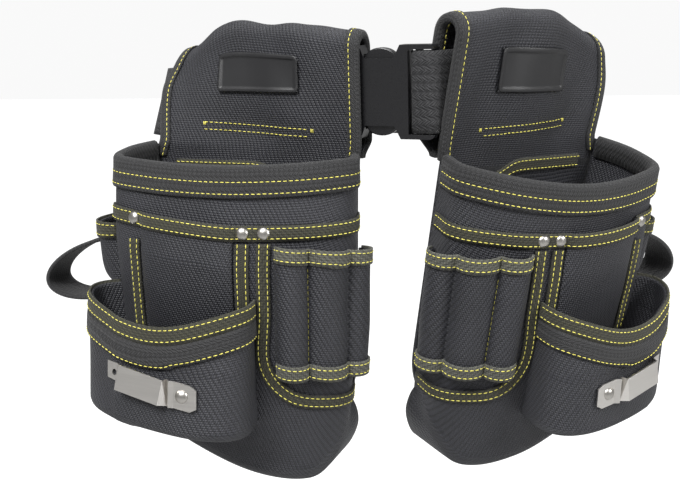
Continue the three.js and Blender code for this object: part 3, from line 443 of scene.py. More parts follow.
def makePouch(label, hang):
    side = hang["side"]
    flip = side > 0
    place = (Matrix.Translation((side * hang["across"], hang["back"] - waist["depth"] / 2, hang["up"]))
             @ Matrix.Rotation(math.radians(side * hang["turn"]), 4, "Z")
             @ Matrix.Rotation(math.radians(hang["swing"]), 4, "X")
             @ Matrix.Rotation(math.radians(side * hang["lean"]), 4, "Y"))
    seam = bmesh.new()

    def toWorld(p):
        return (place @ Vector((-p.x * side, p.y, p.z))) * mm

    def node(piece):
        return label + "_" + piece

    def sheet(piece, columns, rows, pointAt, mapAt, finish="fabric", wall=body["cloth"], slotName="fabric",
              **more):
        made = gridSheet(node(piece) + "_cloth", columns, rows, lambda s, t: toWorld(pointAt(s, t)),
                         mapAt, finish, wall, flip, slotName, **more)
        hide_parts(node(piece))

    def sew(pointAt, steps=90):
        sewLine(seam, [toWorld(pointAt(k / steps)) for k in range(steps + 1)])

    def rimHeight(share):
        return -body["rim"] - body["slope"] * share - hang["dip"] * math.sin(math.pi * clamp(share)) ** 2

    def bottomHeight(share):
        return (-body["drop"] + body["outerRise"] * (1 - smooth(share, 0.05, 0.78))
                + body["innerRise"] * smooth(share, 0.78, 1))

    def wallPoint(share, z, full=1.0):
        base = wallAt(share)
        top = rimHeight(share)
        drop = clamp((top - z) / (top - bottomHeight(share)), 0, 1.19)
        mouth = mix(1, hang["mouth"], tableMix(wallSections, drop, 3))
        width = tableMix(wallSections, drop, 1)
        out = tableMix(wallSections, drop, 2) * mouth * full
        beyond = abs(share - clamp(share)) * wallLength
        return Vector((base.x * width, base.y * out - seatGap + beyond, z))

    def liftFrom(surface, step=0.5):
        def at(u, z, out):
            point = surface(u, z)
            along = surface(u + step, z) - surface(u - step, z)
            down = surface(u, z - step) - surface(u, z + step)
            return point - along.cross(down).normalized() * out
        return at

    rawLift = liftFrom(lambda wrap, z: wallPoint(wrap / wallLength, z))

    def wallFold(wrap, z):
        near = smooth(wrap, 0, folds["edge"]) * smooth(wallLength - wrap, 0, folds["edge"])
        under = smooth(rimHeight(wrap / wallLength) - z, *folds["belowMouth"])
        return foldAt(wrap, z, 3.7 * side, folds["wall"]) * near * under

    def wallLift(wrap, z, out):
        return rawLift(wrap, z, out + wallFold(wrap, z))

    # main pouch, with its rounded foot carried back to the panel
    foot = [(0, 1), (0.5, 0.985), (0.87, 0.93), (1, 0.85), (1, 0)]  # share down the foot, share of the depth
    footRows = 10
    wallRows = 46

    def footAt(row):
        k = row / footRows * (len(foot) - 1)
        first = min(int(k), len(foot) - 2)
        a, b = foot[first:first + 2]
        return mix(a[0], b[0], k - first), mix(a[1], b[1], k - first)

    def pouchPoint(s, t):
        row = (1 - t) * (wallRows + footRows)
        low = bottomHeight(s) + body["round"]
        if row <= wallRows:
            return wallLift(s * wallLength, mix(rimHeight(s), low, row / wallRows), 0)
        down, full = footAt(row - wallRows)
        return wallPoint(s, bottomHeight(s) + body["round"] * (1 - down), full)
    sheet("main_pouch", 110, wallRows + footRows, pouchPoint, lambda s, t: (s * wallLength * mm, t * 0.21))

    # back panel, flap and the fold over the belt
    flapFoot = -body["rim"] - flap["foot"]
    foldTop = flap["height"] - flap["radius"]
    straight = foldTop - flapFoot
    over = math.pi * flap["radius"]
    back = foldTop + flap["sewn"]
    middle = flap["wall"] / 2
    flapLength = straight + over + back

    def panelLine(v):
        if v < straight:
            return middle, flapFoot + max(0, v), 0, 1
        if v < straight + over:
            angle = (v - straight) / flap["radius"]
            sine, cosine = math.sin(angle), math.cos(angle)
            return middle + flap["radius"] * (1 - cosine), foldTop + flap["radius"] * sine, sine, cosine
        down = v - straight - over
        inwards = (2 * flap["radius"] - 6) * smooth(down / back, 0.86, 1)
        return middle + 2 * flap["radius"] - inwards, foldTop - down, 0, -1

    def leaned(point):
        outer = clamp((body["half"] * 0.4 - point.x) / body["half"], 0, 1.4)
        upper = clamp((point.z + body["rim"]) / (flap["height"] + body["rim"]), 0, 1.1)
        high = smooth(point.z, 0, flap["height"])
        droop = smooth(outer, 0.5, 1.32) ** 1.4
        crown = 1 - (point.x / body["half"] - hang["peak"]) ** 2
        point.y += hang["flapLean"] * outer ** 1.3 * upper
        point.z += hang["crown"] * crown * high - flap["droop"] * hang["droop"] * droop * high
        return point

    def flapEdges(v):
        below = clamp(-v)
        onFlap = smooth(v, 4, 18)
        low = (1 - 0.2 * smooth(below, 0.7, 1) ** 2) * mix(1, 0.93, below)
        outer = mix(wallPlan[0][0] * body["half"] * low, -flap["outer"], onFlap)
        inner = mix(wallPlan[-1][0] * body["half"] * low, flap["inner"], onFlap)
        return outer - flap["bulge"] * math.sin(math.pi * clamp(v / (straight + over))) ** 2, inner

    def panelPoint(s, v, out):
        y, z, nextY, nextZ = panelLine(v)
        outer, inner = flapEdges(v)
        if v < 0:
            z = mix(flapFoot, bottomHeight(mix(0.18, 0.9, s)) + 0.3, -v)
        return leaned(Vector((mix(outer, inner, s), y - nextZ * out, z + nextY * out)))

    def flapFold(s, v):
        if v < 0:
            return 0
        near = smooth(s, 0.04, 0.25) * smooth(1 - s, 0.04, 0.25)
        soft = near * smooth(v, 0, 25) * (1 - smooth(v, straight + over * 0.6, straight + over))
        crease = math.exp(-(((s - 0.75) * 3 + (v - 60) * 0.02) ** 2) * 6)
        dent = math.exp(-((s - 0.5) ** 2) * 14 - ((v - 20) / 13) ** 2) * (1 - hang["mouth"]) * 12
        return soft * (foldAt(s * 150, v, 9.1 * side, folds["flap"]) - 1.6 * crease - dent)

    lowShare = 0.3  # this share of the panel's rows lies behind the pouch

    def panelAt(t):
        return mix(-1, 0, t / lowShare) if t < lowShare else (t - lowShare) / (1 - lowShare) * flapLength
    sheet("back_panel", 70, 120, lambda s, t: panelPoint(s, panelAt(t), middle + flapFold(s, panelAt(t))),
          lambda s, t: (s * 0.15, t * 0.3 if t < lowShare else 0.19 + panelAt(t) * mm), wall=flap["wall"])

    def flapFront(x, z, out):
        v = z - flapFoot
        outer, inner = flapEdges(v)
        s = (x - outer) / (inner - outer)
        return panelPoint(s, v, middle + out + flapFold(s, v))

    # ribbed tape round each side edge of the flap
    half = middle + 0.15
    proud = half + tapeWall + 0.1
    trim = flap["trim"]
    trimSection = [
        (trim, half), (trim, proud - 0.3), (trim - 0.6, proud), (2, proud + 0.25), (-tapeWall * 0.6, proud),
        (-tapeWall - 0.3, 0), (-tapeWall * 0.6, -proud), (2, -proud - 0.25), (trim - 0.6, -proud),
        (trim, -half), (0, -half), (0, half),
    ]
    trimFrom, trimSteps = 6, 96
    stops = [trimFrom + k * (flapLength - trimFrom) / trimSteps for k in range(trimSteps + 1)]
    for piece, outerSide in (("outer_edge_trim", True), ("inner_edge_trim", False)):
        def trimPoint(v, corner, fromOuter=outerSide):
            x, out = corner
            outer, inner = flapEdges(v)
            width = inner - outer
            return panelPoint(x / width if fromOuter else 1 - x / width, v, out)
        made = bandSheet(node(piece) + "_cloth", stops, len(trimSection),
                         lambda v, row: toWorld(trimPoint(v, trimSection[row])),
                         lambda v, row: (v * mm, row * 0.003), "webbing", "webbing")
        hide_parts(node(piece))
        for out in (proud + 0.1, -proud - 0.1):
            sewLine(seam, [toWorld(trimPoint(v, (trim * 0.66, out))) for v in stops])

    # blank patch with a raised, rounded rim
    patch = {"width": 62, "height": 22, "round": 3, "wall": 1.8, "rim": 2.2, "across": 1, "up": 16}

    def patchPoint(s, t):
        x, z = (s - 0.5) * patch["width"], (t - 0.5) * patch["height"]
        corner = Vector((max(0, abs(x) - patch["width"] / 2 + patch["round"]),
                         max(0, abs(z) - patch["height"] / 2 + patch["round"])))
        if corner.length > patch["round"]:
            pull = corner.normalized() * patch["round"] - corner
            x += math.copysign(1, x) * pull.x
            z += math.copysign(1, z) * pull.y
        margin = min(patch["width"] / 2 - abs(x), patch["height"] / 2 - abs(z))
        if corner.length:
            margin = min(margin, patch["round"] - min(patch["round"], corner.length))
        rise = smooth(margin, 0, 0.6) * 0.5 - smooth(margin, patch["rim"], patch["rim"] + 0.7) * 0.9
        return flapFront(patch["across"] + x, patch["up"] + z, 0.2 + patch["wall"] + rise)
    sheet("patch", 72, 40, patchPoint, lambda s, t: (s * 0.062, t * 0.022), "rubber", patch["wall"], "rubber")

    # two rows of sewing that close the tunnel, with a bar tack at each end
    closing = {"from": -39, "to": 40, "up": -14.5, "slope": 3.5, "apart": 4.6}
    tack = {"rows": 3, "apart": 0.7, "long": 5}
    for up in (closing["up"], closing["up"] - closing["apart"]):
        sew(lambda s: flapFront(mix(closing["from"], closing["to"], s), up - closing["slope"] * s, 0.25))
    for end in (closing["from"], closing["to"]):
        top = closing["up"] - closing["slope"] * (end > 0) + 0.5
        for k in range(tack["rows"]):
            sew(lambda s: flapFront(end + (k - 1) * tack["apart"], top - tack["long"] * s, 0.3), 6)

    def innerTapePoint(s, t, out=0.15 + tapeWall):
        height = flapFoot + 4 - 9 * smooth(s, 0.6, 1) ** 2
        return Vector((mix(-flap["outer"] * 0.85, flap["inner"] * 0.35, s), -out,
                       height - (1 - t) * binding["height"]))
    sheet("inner_tape", 40, 3, innerTapePoint, lambda s, t: (s * 0.085, t * binding["height"] * mm), "tape",
          tapeWall, "tape")
    for share in (0.18, 0.82):
        sew(lambda s: innerTapePoint(s, share, 0.35 + tapeWall))

    # tape sewn flat on the wall along a line
    seamTape = {"width": 8.5, "crown": 0.3}

    def tape(piece, lineAt, columns):
        def at(s, t, extra=0.0):
            here = lineAt(s)
            way = (lineAt(min(1, s + 0.01)) - lineAt(max(0, s - 0.01))).normalized()
            off = (t - 0.5) * seamTape["width"]
            crown = seamTape["crown"] * bulge(t, 4)
            return wallLift(here.x - way.y * off, here.y + way.x * off, 0.35 + tapeWall + crown + extra)
        sheet(piece, columns, 4, at, lambda s, t: (s * 0.1, t * seamTape["width"] * mm), "tape", tapeWall,
              "tape")
        for share in (0.2, 0.8):
            sew(lambda s: at(s, share, 0.12))

    # rolled band over the mouth
    bandDrop = 17
    proudRib = 0.15 + ribWall
    cloth = body["cloth"]
    rimSection = [
        (0.1, -bandDrop), (proudRib * 0.8, -bandDrop), (proudRib, -bandDrop + 1), (proudRib, -bandDrop * 0.6),
        (proudRib, -bandDrop * 0.3), (proudRib + 0.2, 0), (proudRib * 0.7, proudRib * 0.7),
        (-cloth / 2, proudRib * 1.1), (-cloth - proudRib * 0.7, proudRib * 0.7), (-cloth - proudRib, 0),
        (-cloth - proudRib, -bandDrop * 0.7), (-cloth - 0.2, -bandDrop * 0.7), (-cloth - 0.2, 0.2),
        (0.1, 0.2),
    ]
    rimEnd, rimSteps = 3.1, 120
    wraps = [rimEnd + k * (wallLength - 2 * rimEnd) / rimSteps for k in range(rimSteps + 1)]

    def rimPoint(u, corner):
        return wallLift(u, rimHeight(u / wallLength) + corner[1], corner[0])
    band = bandSheet(node("rim_band") + "_cloth", wraps, len(rimSection),
                     lambda u, row: toWorld(rimPoint(u, rimSection[row])),
                     lambda u, row: (u * mm, row * 0.004), "webbing", "webbing")
    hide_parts(node("rim_band"))
    for share in (0.45, 0.86):
        sewLine(seam, [toWorld(rimPoint(u, (proudRib + 0.12, -bandDrop * share))) for u in wraps])

    # mid tier
    mid = {"from": 84, "to": 146, "drop": 70, "rise": 6, "bulge": 5, "depth": 78, "wall": 1.2, "tapeFrom": 51,
           "tapeEnd": 3}

    def midTop(wrap):
        return -mid["drop"] + mid["rise"] * clamp((mid["to"] - wrap) / (mid["to"] - mid["from"]), 0, 1.4)

    def midOut(wrap):
        s = (wrap - mid["from"]) / (mid["to"] - mid["from"])
        return 0 if s <= 0 or s >= 1 else (mid["bulge"] + body["cloth"]) * bulge(s, 2.4)

    def midPoint(s, t):
        wrap = mix(mid["from"], mid["to"], s)
        down = 1 - t
        return wallLift(wrap, midTop(wrap) - down * mid["depth"], 0.4 + midOut(wrap) * (1 - down ** 3))
    sheet("mid_pocket", 48, 36, midPoint, lambda s, t: (s * 0.062, t * mid["depth"] * mm), wall=mid["wall"],
          across=eased)

    def midWrap(s):
        return mix(mid["tapeFrom"], wallLength - mid["tapeEnd"], s)

    def midBinding(s, t, extra=0.0):
        wrap = midWrap(s)
        crown = 0.35 * bulge(t, 4)
        return wallLift(wrap, midTop(wrap) + binding["above"] - (1 - t) * binding["height"],
                        midOut(wrap) + 0.25 + tapeWall + crown + extra)
    sheet("mid_binding", 150, 4, midBinding, lambda s, t: (midWrap(s) * mm, t * binding["height"] * mm),
          "tape", tapeWall, "tape")
    for share in (0.18, 0.82):
        sew(lambda s: midBinding(s, share, 0.12), 160)

    # upright seam tapes and the long curved one
    seats = {"side": 78, "front": 151.5, "sweep": 164.5}
    seamTop = mid["drop"] + binding["height"]
    for seat, low in (("side", 144), ("front", 122)):
        tape(seat + "_seam_tape", lambda s: Vector((seats[seat], -mix(seamTop, low, s), 0)), 24)
    sleeve = {
        "top": 82, "bottom": 160, "slope": 8, "bulge": 7.5, "from": 171, "to": 236,
        "widths": (0.3, 0.38, 0.32),
    }
    sweepRows = [
        (0, -seamTop), (0, -120), (-0.005, -sleeve["bottom"] + 4), (0.17, -sleeve["bottom"] - 15),
        (0.5, -sleeve["bottom"] - sleeve["slope"] - 15), (0.96, -sleeve["bottom"] - sleeve["slope"] - 18),
    ]
    sweepAt, _ = smoothLine([(mix(seats["sweep"], wallLength, along), z, 0) for along, z in sweepRows], 200)
    tape("sweep_tape", sweepAt, 110)

    # tool sleeves, side by side
    def sleeveOut(s):
        start = 0
        for width in sleeve["widths"]:
            if s <= start + width + 1e-9:
                return sleeve["bulge"] * max(0, math.sin(math.pi * (s - start) / width)) ** 0.6
            start += width
        return 0

    def sleevePoint(top, bottom, base):
        def at(s, t, extra=0.0):
            wrap = mix(sleeve["from"], sleeve["to"], s)
            z = mix(-bottom, -top, t) - sleeve["slope"] * s
            return wallLift(wrap, z, base + extra + sleeveOut(s))
        return at
    sleeveSeat = 0.4 + cloth
    sleeveAt = sleevePoint(sleeve["top"], sleeve["bottom"], sleeveSeat)
    sleeveDepth = sleeve["bottom"] - sleeve["top"]
    sheet("tool_sleeves", 90, 20, sleeveAt, lambda s, t: (s * 0.065, t * sleeveDepth * mm))
    topTape = sleeve["top"] - binding["above"]
    bottomTape = sleeve["bottom"] + binding["above"] - binding["height"]
    for piece, top in (("sleeve_top_binding", topTape), ("sleeve_bottom_binding", bottomTape)):
        tapeAt = sleevePoint(top, top + binding["height"], sleeveSeat + 0.2 + tapeWall)
        sheet(piece, 90, 4, tapeAt, lambda s, t: (s * 0.065, t * binding["height"] * mm), "lightTape",
              tapeWall, "light_tape")
        for share in (0.2, 0.8):
            sew(lambda s: tapeAt(s, share, 0.15), 120)
    for share in (0.3, 0.68):
        sew(lambda s: sleeveAt(share, mix(0.12, 0.88, s), 0.2))

    # front pocket
    front = {
        "from": 54, "to": 158, "mouth": 114, "sag": 13, "outerRise": 3, "bottom": 180, "slope": 12,
        "depth": 34, "lean": 13, "round": 5, "box": 3.6, "band": 12.5,
    }
    tuck = 1.1  # a pocket's ends sink this far into the wall

    def frontMouth(s):
        sag = front["sag"] * math.sin(math.pi * clamp(s)) ** 1.3
        return -front["mouth"] - sag + front["outerRise"] * (1 - s)

    frontPlan, frontLength = roundPlan(front["to"] - front["from"], front["depth"], front["box"])

    def frontPoint(q, z, full=1.0):
        s, out = frontPlan(q)
        low = (-front["mouth"] - z) / (front["bottom"] - front["mouth"])
        reach = front["depth"] - front["lean"] * 0.5 + front["lean"] * low
        wrap = mix(front["from"], front["to"], s)
        out = out * full
        return rawLift(wrap, z, 0.1 + (wallFold(wrap, z) - tuck) * (1 - out) + reach * out)
    frontLift = liftFrom(lambda along, z: frontPoint(clamp(along / frontLength, 0.002, 0.998), z))
    frontRows = 30

    def frontSheet(q, t):
        s = frontPlan(q)[0]
        row = (1 - t) * (frontRows + footRows)
        low = -front["bottom"] - front["slope"] * s
        if row <= frontRows:
            z = mix(frontMouth(s), low + front["round"], row / frontRows)
            near = smooth(q, 0.1, 0.3) * smooth(1 - q, 0.1, 0.3)
            dent = foldAt(q * 160, z, 5.5 * side, folds["front"]) * near
            return frontLift(q * frontLength, z, dent * smooth(row, 6, 14))
        down, full = footAt(row - frontRows)
        return frontPoint(q, low + front["round"] * (1 - down), full)
    sheet("front_pocket", 100, frontRows + footRows, frontSheet,
          lambda s, t: (s * frontLength * mm, t * 0.09))

    def frontStrip(piece, fromDrop, toDrop, finish, rows, seams):
        def at(q, t, extra=0.0):
            q = mix(0.015, 0.985, q)
            z = frontMouth(frontPlan(q)[0]) - mix(toDrop, fromDrop, t)
            crown = 0.3 * bulge(t, 4)
            return frontLift(q * frontLength, z, 0.15 + tapeWall + crown + extra)
        sheet(piece, 100, rows, at, lambda s, t: (s * frontLength * mm, t * (toDrop - fromDrop) * mm), finish,
              tapeWall, finish)
        for share in seams:
            sew(lambda s: at(s, share, 0.1), 120)
    frontStrip("front_binding", -binding["above"], binding["height"], "tape", 4, (0.2, 0.8))
    frontStrip("front_band", binding["height"] + 0.1, binding["height"] + front["band"], "webbing", 5, (0.1,))

    # side pocket and hammer loop
    pocket = {"from": 7, "to": 50, "top": 75, "bottom": 118, "bulge": 17, "box": 2.6}
    pocketReach = pocket["bulge"] + cloth
    sidePlan, sideLength = roundPlan(pocket["to"] - pocket["from"], pocketReach, pocket["box"])

    def sidePoint(q, z, full=1.0):
        s, out = sidePlan(q)
        wrap = mix(pocket["from"], pocket["to"], s)
        out = out * full
        return rawLift(wrap, z, 0.1 + (wallFold(wrap, z) - tuck) * (1 - out) + pocketReach * out)
    sideLift = liftFrom(lambda along, z: sidePoint(clamp(along / sideLength, 0.004, 0.996), z))
    sheet("side_pocket", 44, 28,
          lambda q, t: sidePoint(q, -mix(pocket["bottom"], pocket["top"], t), 1 - (1 - t) ** 8),
          lambda s, t: (s * sideLength * mm, t * 0.043))

    def sideBand(q, t, extra=0.0):
        z = -pocket["top"] + binding["above"] - (1 - t) * binding["height"]
        return sideLift(mix(0.02, 0.98, q) * sideLength, z, 0.3 + tapeWall + extra)
    sheet("side_binding", 44, 4, sideBand,
          lambda s, t: (s * sideLength * mm, t * binding["height"] * mm), "tape", tapeWall, "tape")
    for share in (0.2, 0.8):
        sew(lambda q: sideBand(q, share, 0.12), 60)

    loop = {"width": 24, "reach": 47, "height": 41, "wall": 2.4, "below": 11.5, "sag": 0.25}
    held = rawLift(mix(pocket["from"], pocket["to"], 0.5), -pocket["top"] - loop["below"], pocketReach + 0.6)

    def loopPoint(s, t):
        angle = math.pi * mix(0.5, 1.5, s)
        out = abs(math.cos(angle))
        high = loop["height"] / 2
        return Vector((held.x - seatGap - out * loop["reach"], held.y + (0.5 - t) * loop["width"],
                       held.z - high + math.sin(angle) * high - loop["reach"] * loop["sag"] * out))
    sheet("hammer_loop", 60, 8, loopPoint, lambda s, t: (s * 0.11, t * loop["width"] * mm), "webbing",
          loop["wall"], "webbing")

    # rivets: domed heads
    dome = {"radius": 4.1, "rise": 2.2}

    def rivet(piece, pointAt):
        seated = pointAt(0)
        normal = (pointAt(1) - seated).normalized()
        head = bmesh.new()
        profile = [
            (0.0, dome["rise"]), (1.6, dome["rise"] * 0.95), (2.8, dome["rise"] * 0.72),
            (3.6, dome["rise"] * 0.42), (dome["radius"], 0.25), (dome["radius"], 0.0), (0.0, 0.0),
        ]
        verts = [head.verts.new((x * mm, 0, z * mm)) for x, z in profile]
        edges = [head.edges.new(pair) for pair in zip(verts, verts[1:])]
        bmesh.ops.spin(head, geom=verts + edges, cent=(0, 0, 0), axis=(0, 0, 1), angle=2 * math.pi, steps=24,
                       use_merge=True)
        bmesh.ops.remove_doubles(head, verts=head.verts, dist=1e-6)
        bmesh.ops.recalc_face_normals(head, faces=head.faces)
        for face in head.faces:
            face.smooth = True
        turn = (toWorld(seated + normal) - toWorld(seated)).to_track_quat("Z", "Y").to_matrix().to_4x4()
        bmesh.ops.transform(head, matrix=Matrix.Translation(toWorld(seated)) @ turn, verts=head.verts)
        made = finishPiece(head, node(piece) + "_head", "nickel", "steel")
        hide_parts(node(piece))

    # where the steel clip's rivet sits, along the front pocket in percent and down it
    clip = {
        "middle": 51, "reach": 20, "drop": 157.25, "slope": 0.2, "length": 60, "rivetShare": 0.87, "up": 1.6,
    }

    def alongFront(percent):
        low, high = 0.0, 1.0
        for _ in range(18):
            q = (low + high) / 2
            low, high = (q, high) if frontPlan(q)[0] * 100 < percent else (low, q)
        return low * frontLength
    clipEnds = [alongFront(clip["middle"] + way * clip["reach"]) for way in (-1, 1)]
    clipSpan = (frontLift(clipEnds[1], -clip["drop"], 0) - frontLift(clipEnds[0], -clip["drop"], 0)).length
    across = (clip["rivetShare"] - 0.5) * clip["length"]
    atRivet = alongFront(clip["middle"] + across * 2 * clip["reach"] / clipSpan)
    rivetHeight = -clip["drop"] - clip["slope"] * across
    rivet("clip_rivet", lambda out: frontLift(atRivet, rivetHeight, clip["up"] + out))
    for seat in ("front", "sweep", "side"):
        wrap = seats[seat]
        seated = midOut(wrap) + 0.5 + tapeWall
        rivet(seat + "_rivet", lambda out: wallLift(wrap, midTop(wrap) - 3.2, seated + out))
    print("stage:", label, "cloth")

    sewing = finishPiece(seam, node("sewing"), "thread", "tape")
    for face in sewing.data.polygons:
        face.use_smooth = True

    # the webbing's middle and its way up, inside the tunnel and in front of it
    def tunnel(x, backAt):
        sag = waist["slack"] * smooth(-x / flap["outer"], 0, 1)
        low, high, centre = (toWorld(leaned(Vector((x, backAt, waist["up"] - sag + z))))
                             for z in (-waist["width"] / 2, waist["width"] / 2, 0))
        return centre, (high - low).normalized()

    def plain(x, y):
        here = toWorld(Vector((x, y, waist["up"])))
        above = toWorld(Vector((x, y, waist["up"] + 1)))
        return here, (above - here).normalized()
    return {"tunnel": tunnel, "plain": plain, "toWorld": toWorld}


pouches = {label: makePouch(label, hang) for label, hang in hangs.items()}


# belt webbing from bar to bar of the buckle
buckle = {
    "from": flap["inner"] - 3, "back": 10.5, "bar": 4, "length": 51, "barReach": 13, "collar": 6, "gap": 0.9,
}
tunnelShares = [0.75, 0.35, 0, -0.35, -0.7, -0.95, -1.17]  # places along the tunnel, as shares of the flap
waistTurns = [0.28, 0.55, 0.8]  # places round the waist, as shares of a quarter


def makeBelt():
    leftTunnel, leftPlain = pouches["left"]["tunnel"], pouches["left"]["plain"]
    rightTunnel = pouches["right"]["tunnel"]
    back = buckle["back"]
    radius = buckle["bar"] * math.sqrt(0.5) + waist["wall"] / 2 + 0.45
    femaleBar = buckle["from"] + buckle["length"] - buckle["barReach"] + buckle["bar"] / 2
    maleBar = buckle["from"] - buckle["gap"] - buckle["collar"] - radius - 1.3

    def loopRound(bar, way):
        stops = [leftPlain(bar + way * 10, back + radius)]
        for k in range(5):
            angle = math.pi * k / 4
            stops.append(leftPlain(bar - way * radius * math.sin(angle), back + radius * math.cos(angle)))
        stops.append(leftPlain(bar + way * 9, back - radius))
        return stops
    rightStops = [rightTunnel(share * flap["inner"], back) for share in tunnelShares]
    leftStops = [leftTunnel(share * flap["inner"], back) for share in tunnelShares]

    def waistStop(leave, turn):
        angle = turn * math.pi / 2
        point = leave[0]
        return (Vector((point.x * math.cos(angle), mix(point.y, waist["depth"] / 2 * mm, math.sin(angle)),
                        mix(point.z, -waist["sag"] * mm, math.sin(angle)))), Vector((0, 0, 1)))
    stops = loopRound(femaleBar, 1) + rightStops
    stops += [waistStop(rightStops[-1], turn) for turn in (*waistTurns, 1)]
    stops += [waistStop(leftStops[-1], turn) for turn in reversed(waistTurns)]
    stops += list(reversed(leftStops[1:])) + list(reversed(loopRound(maleBar, -1)))
    path, length = smoothLine([stop[0] for stop in stops], 1400)
    marks = lengthsAlong([stop[0] for stop in stops])

    def upAt(share):
        goal = share * marks[-1]
        for k in range(len(stops) - 1):
            if marks[k + 1] >= goal:
                break
        share = clamp((goal - marks[k]) / (marks[k + 1] - marks[k]))
        return stops[k][1].lerp(stops[k + 1][1], share).normalized()

    across = waist["width"] - 0.4

    def pointAt(s, t):
        centre = path(s)
        way = (path(min(1, s + 0.0005)) - path(max(0, s - 0.0005))).normalized()
        up = upAt(s)
        return centre + up * ((t - 0.5) * across * mm) + way.cross(up).normalized() * (waist["wall"] / 2 * mm)
    made = gridSheet("belt_webbing_cloth", 700, 8, pointAt,
                     lambda s, t: (s * length, t * waist["width"] * mm), "beltRib", waist["wall"], False,
                     "webbing")
    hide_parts("belt_webbing")
    return length


beltLength = makeBelt()
print("stage: belt, length", round(beltLength, 3))


# the two sprung arms of the buckle, seen in its side notches
def makeArms():
    arm = {"in": 15.8, "long": 10.2, "high": 6.6, "from": 20.3, "wall": 6.4, "edge": 0.9}
    toWorld = pouches["left"]["toWorld"]
    arms = bmesh.new()
    for way in (-1, 1):
        blank = bmesh.ops.create_circle(arms, cap_ends=True, segments=40, radius=1)["verts"]
        for vert in blank:
            across, high = vert.co.x, vert.co.y
            vert.co = Vector((buckle["from"] + arm["in"] + across * arm["long"],
                              buckle["back"] - arm["wall"] / 2,
                              waist["up"] + way * (arm["from"] + high * arm["high"])))
        faces = list({face for vert in blank for face in vert.link_faces})
        grown = bmesh.ops.extrude_face_region(arms, geom=faces, use_keep_orig=True)["geom"]
        for item in grown:
            if isinstance(item, bmesh.types.BMVert):
                item.co.y += arm["wall"]
    bmesh.ops.recalc_face_normals(arms, faces=arms.faces)
    rims = [edge for edge in arms.edges if len(edge.link_faces) == 2 and edge.calc_face_angle() > 1]
    bmesh.ops.bevel(arms, geom=rims, offset=arm["edge"], offset_type="OFFSET", segments=3, profile=0.5,
                    affect="EDGES", material=-1)
    for vert in arms.verts:
        vert.co = toWorld(vert.co)
    bmesh.ops.recalc_face_normals(arms, faces=arms.faces)
    for face in arms.faces:
        face.smooth = len(face.verts) < 5
    finishPiece(arms, "buckle_arms", "plastic", "plastic")


makeArms()


# hard pieces keep their solids and get their finish, with softened edges
def dressHard(nodeName, finish, edge):
    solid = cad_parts[nodeName]
    solid.data.materials.clear()
    solid.data.materials.append(finishes[finish])
    weld = solid.modifiers.new("weld", "WELD")
    weld.merge_threshold = 0.00001
    soft = solid.modifiers.new("edge", "BEVEL")
    soft.width = edge * mm
    soft.segments = 2
    soft.limit_method = "ANGLE"
    soft.angle_limit = math.radians(25)
    soft.harden_normals = False


for nodeName in ("buckle_female", "buckle_male"):
    dressHard(nodeName, "plastic", 0.6)
for label in hangs:
    dressHard(label + "_tape_clip", "steel", 0.2)
print("stage: hard pieces")


# floor, light and camera
studio = {
    "floorBelow": 0.35, "floorHalf": 6, "floorTone": 0.45, "floorGlow": 0.6, "room": 0.35, "roomSeen": 0.6,
    "sun": 2.7, "sunAngle": 0.9, "sunTurn": (28, -14), "aim": (0, -0.1, -0.1),
    "lamps": [
        {"name": "keyLight", "at": (-0.7, -1.1, 1.1), "power": 26, "size": 0.55},
        {"name": "sideLight", "at": (1.1, -0.7, 0.5), "power": 14, "size": 0.5},
        {"name": "topLight", "at": (0.1, 0.5, 1.3), "power": 8, "size": 0.8},
    ],
}


def makeFloor():
    floor = bmesh.new()
    bmesh.ops.create_grid(floor, x_segments=1, y_segments=1, size=studio["floorHalf"])
    mesh = bpy.data.meshes.new("floor")
    floor.to_mesh(mesh)
    floor.free()
    ground = bpy.data.objects.new("floor", mesh)
    ground.location.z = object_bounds()[0][2] - studio["floorBelow"]
    bpy.context.scene.collection.objects.link(ground)
    pale = bpy.data.materials.new("paleFloor")
    pale.use_nodes = True
    tree = pale.node_tree
    shader = tree.nodes["Principled BSDF"]
    shader.inputs["Base Color"].default_value = (*[studio["floorTone"]] * 3, 1)
    shader.inputs["Roughness"].default_value = 0.9
    shader.inputs["Emission Color"].default_value = (1, 1, 1, 1)
    seen = tree.nodes.new("ShaderNodeLightPath").outputs["Is Camera Ray"]
    tree.links.new(mathNode(tree, "MULTIPLY", seen, studio["floorGlow"]), shader.inputs["Emission Strength"])
    mesh.materials.append(pale)


def addLight(name, kind, energy):
    light = bpy.data.lights.new(name, kind)
    light.energy = energy
    holder = bpy.data.objects.new(name, light)
    bpy.context.scene.collection.objects.link(holder)
    return light, holder


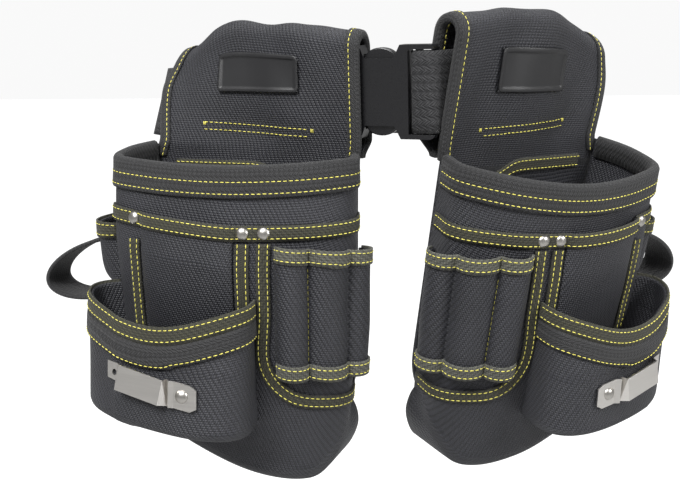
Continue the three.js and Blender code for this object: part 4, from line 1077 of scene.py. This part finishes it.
def makeStudio():
    world = bpy.data.worlds.new("studio")
    world.use_nodes = True
    tree = world.node_tree
    room = tree.nodes["Background"]
    room.inputs["Color"].default_value = (1, 1, 1, 1)
    seen = tree.nodes.new("ShaderNodeLightPath").outputs["Is Camera Ray"]
    strength = mathNode(tree, "ADD", mathNode(tree, "MULTIPLY", seen, studio["roomSeen"]), studio["room"])
    tree.links.new(strength, room.inputs["Strength"])
    bpy.context.scene.world = world
    sun, holder = addLight("softSun", "SUN", studio["sun"])
    sun.angle = studio["sunAngle"]
    holder.rotation_euler = Euler((*[math.radians(turn) for turn in studio["sunTurn"]], 0))
    for lamp in studio["lamps"]:
        light, holder = addLight(lamp["name"], "AREA", lamp["power"])
        light.size = lamp["size"]
        holder.location = lamp["at"]
        holder.rotation_euler = (Vector(studio["aim"]) - holder.location).to_track_quat("-Z", "Y").to_euler()


# camera fitted to the photo: distance in mm, azimuth and height in degrees, the rest in radians and pixels
view = {
    "distance": 599.37, "azimuth": -3.85, "height": 5.396, "aimRight": -0.06188, "aimUp": -0.15231,
    "roll": -0.00625, "zoom": 971, "photoWidth": 680, "sensor": 36,
}


def makeCamera():
    azimuth, height = math.radians(view["azimuth"]), math.radians(view["height"])
    spot = Vector((math.sin(azimuth) * math.cos(height), -math.cos(azimuth) * math.cos(height),
                   math.sin(height))) * view["distance"]
    ahead = -spot.normalized()
    right = ahead.cross(Vector((0, 0, 1))).normalized()
    up = right.cross(ahead)
    aim = (ahead + right * view["aimRight"] + up * view["aimUp"]).normalized()
    right = aim.cross(Vector((0, 0, 1))).normalized()
    up = right.cross(aim)
    c, s = math.cos(view["roll"]), math.sin(view["roll"])
    rightTurned, upTurned = right * c + up * s, up * c - right * s
    lens = bpy.data.cameras.new("photoCamera")
    lens.sensor_width = view["sensor"]
    lens.lens = view["sensor"] * view["zoom"] / view["photoWidth"]
    lens.clip_start = 0.01
    camera = bpy.data.objects.new("photoCamera", lens)
    spot = (spot + Vector((0, -waist["depth"] / 2, 0))) * mm
    turn = Matrix((rightTurned, upTurned, -aim)).transposed().to_4x4()
    camera.matrix_world = Matrix.Translation(spot) @ turn
    bpy.context.scene.collection.objects.link(camera)
    bpy.context.scene.camera = camera


makeFloor()
makeStudio()
makeCamera()
bpy.context.scene.view_settings.view_transform = "Standard"
print("stage: studio")
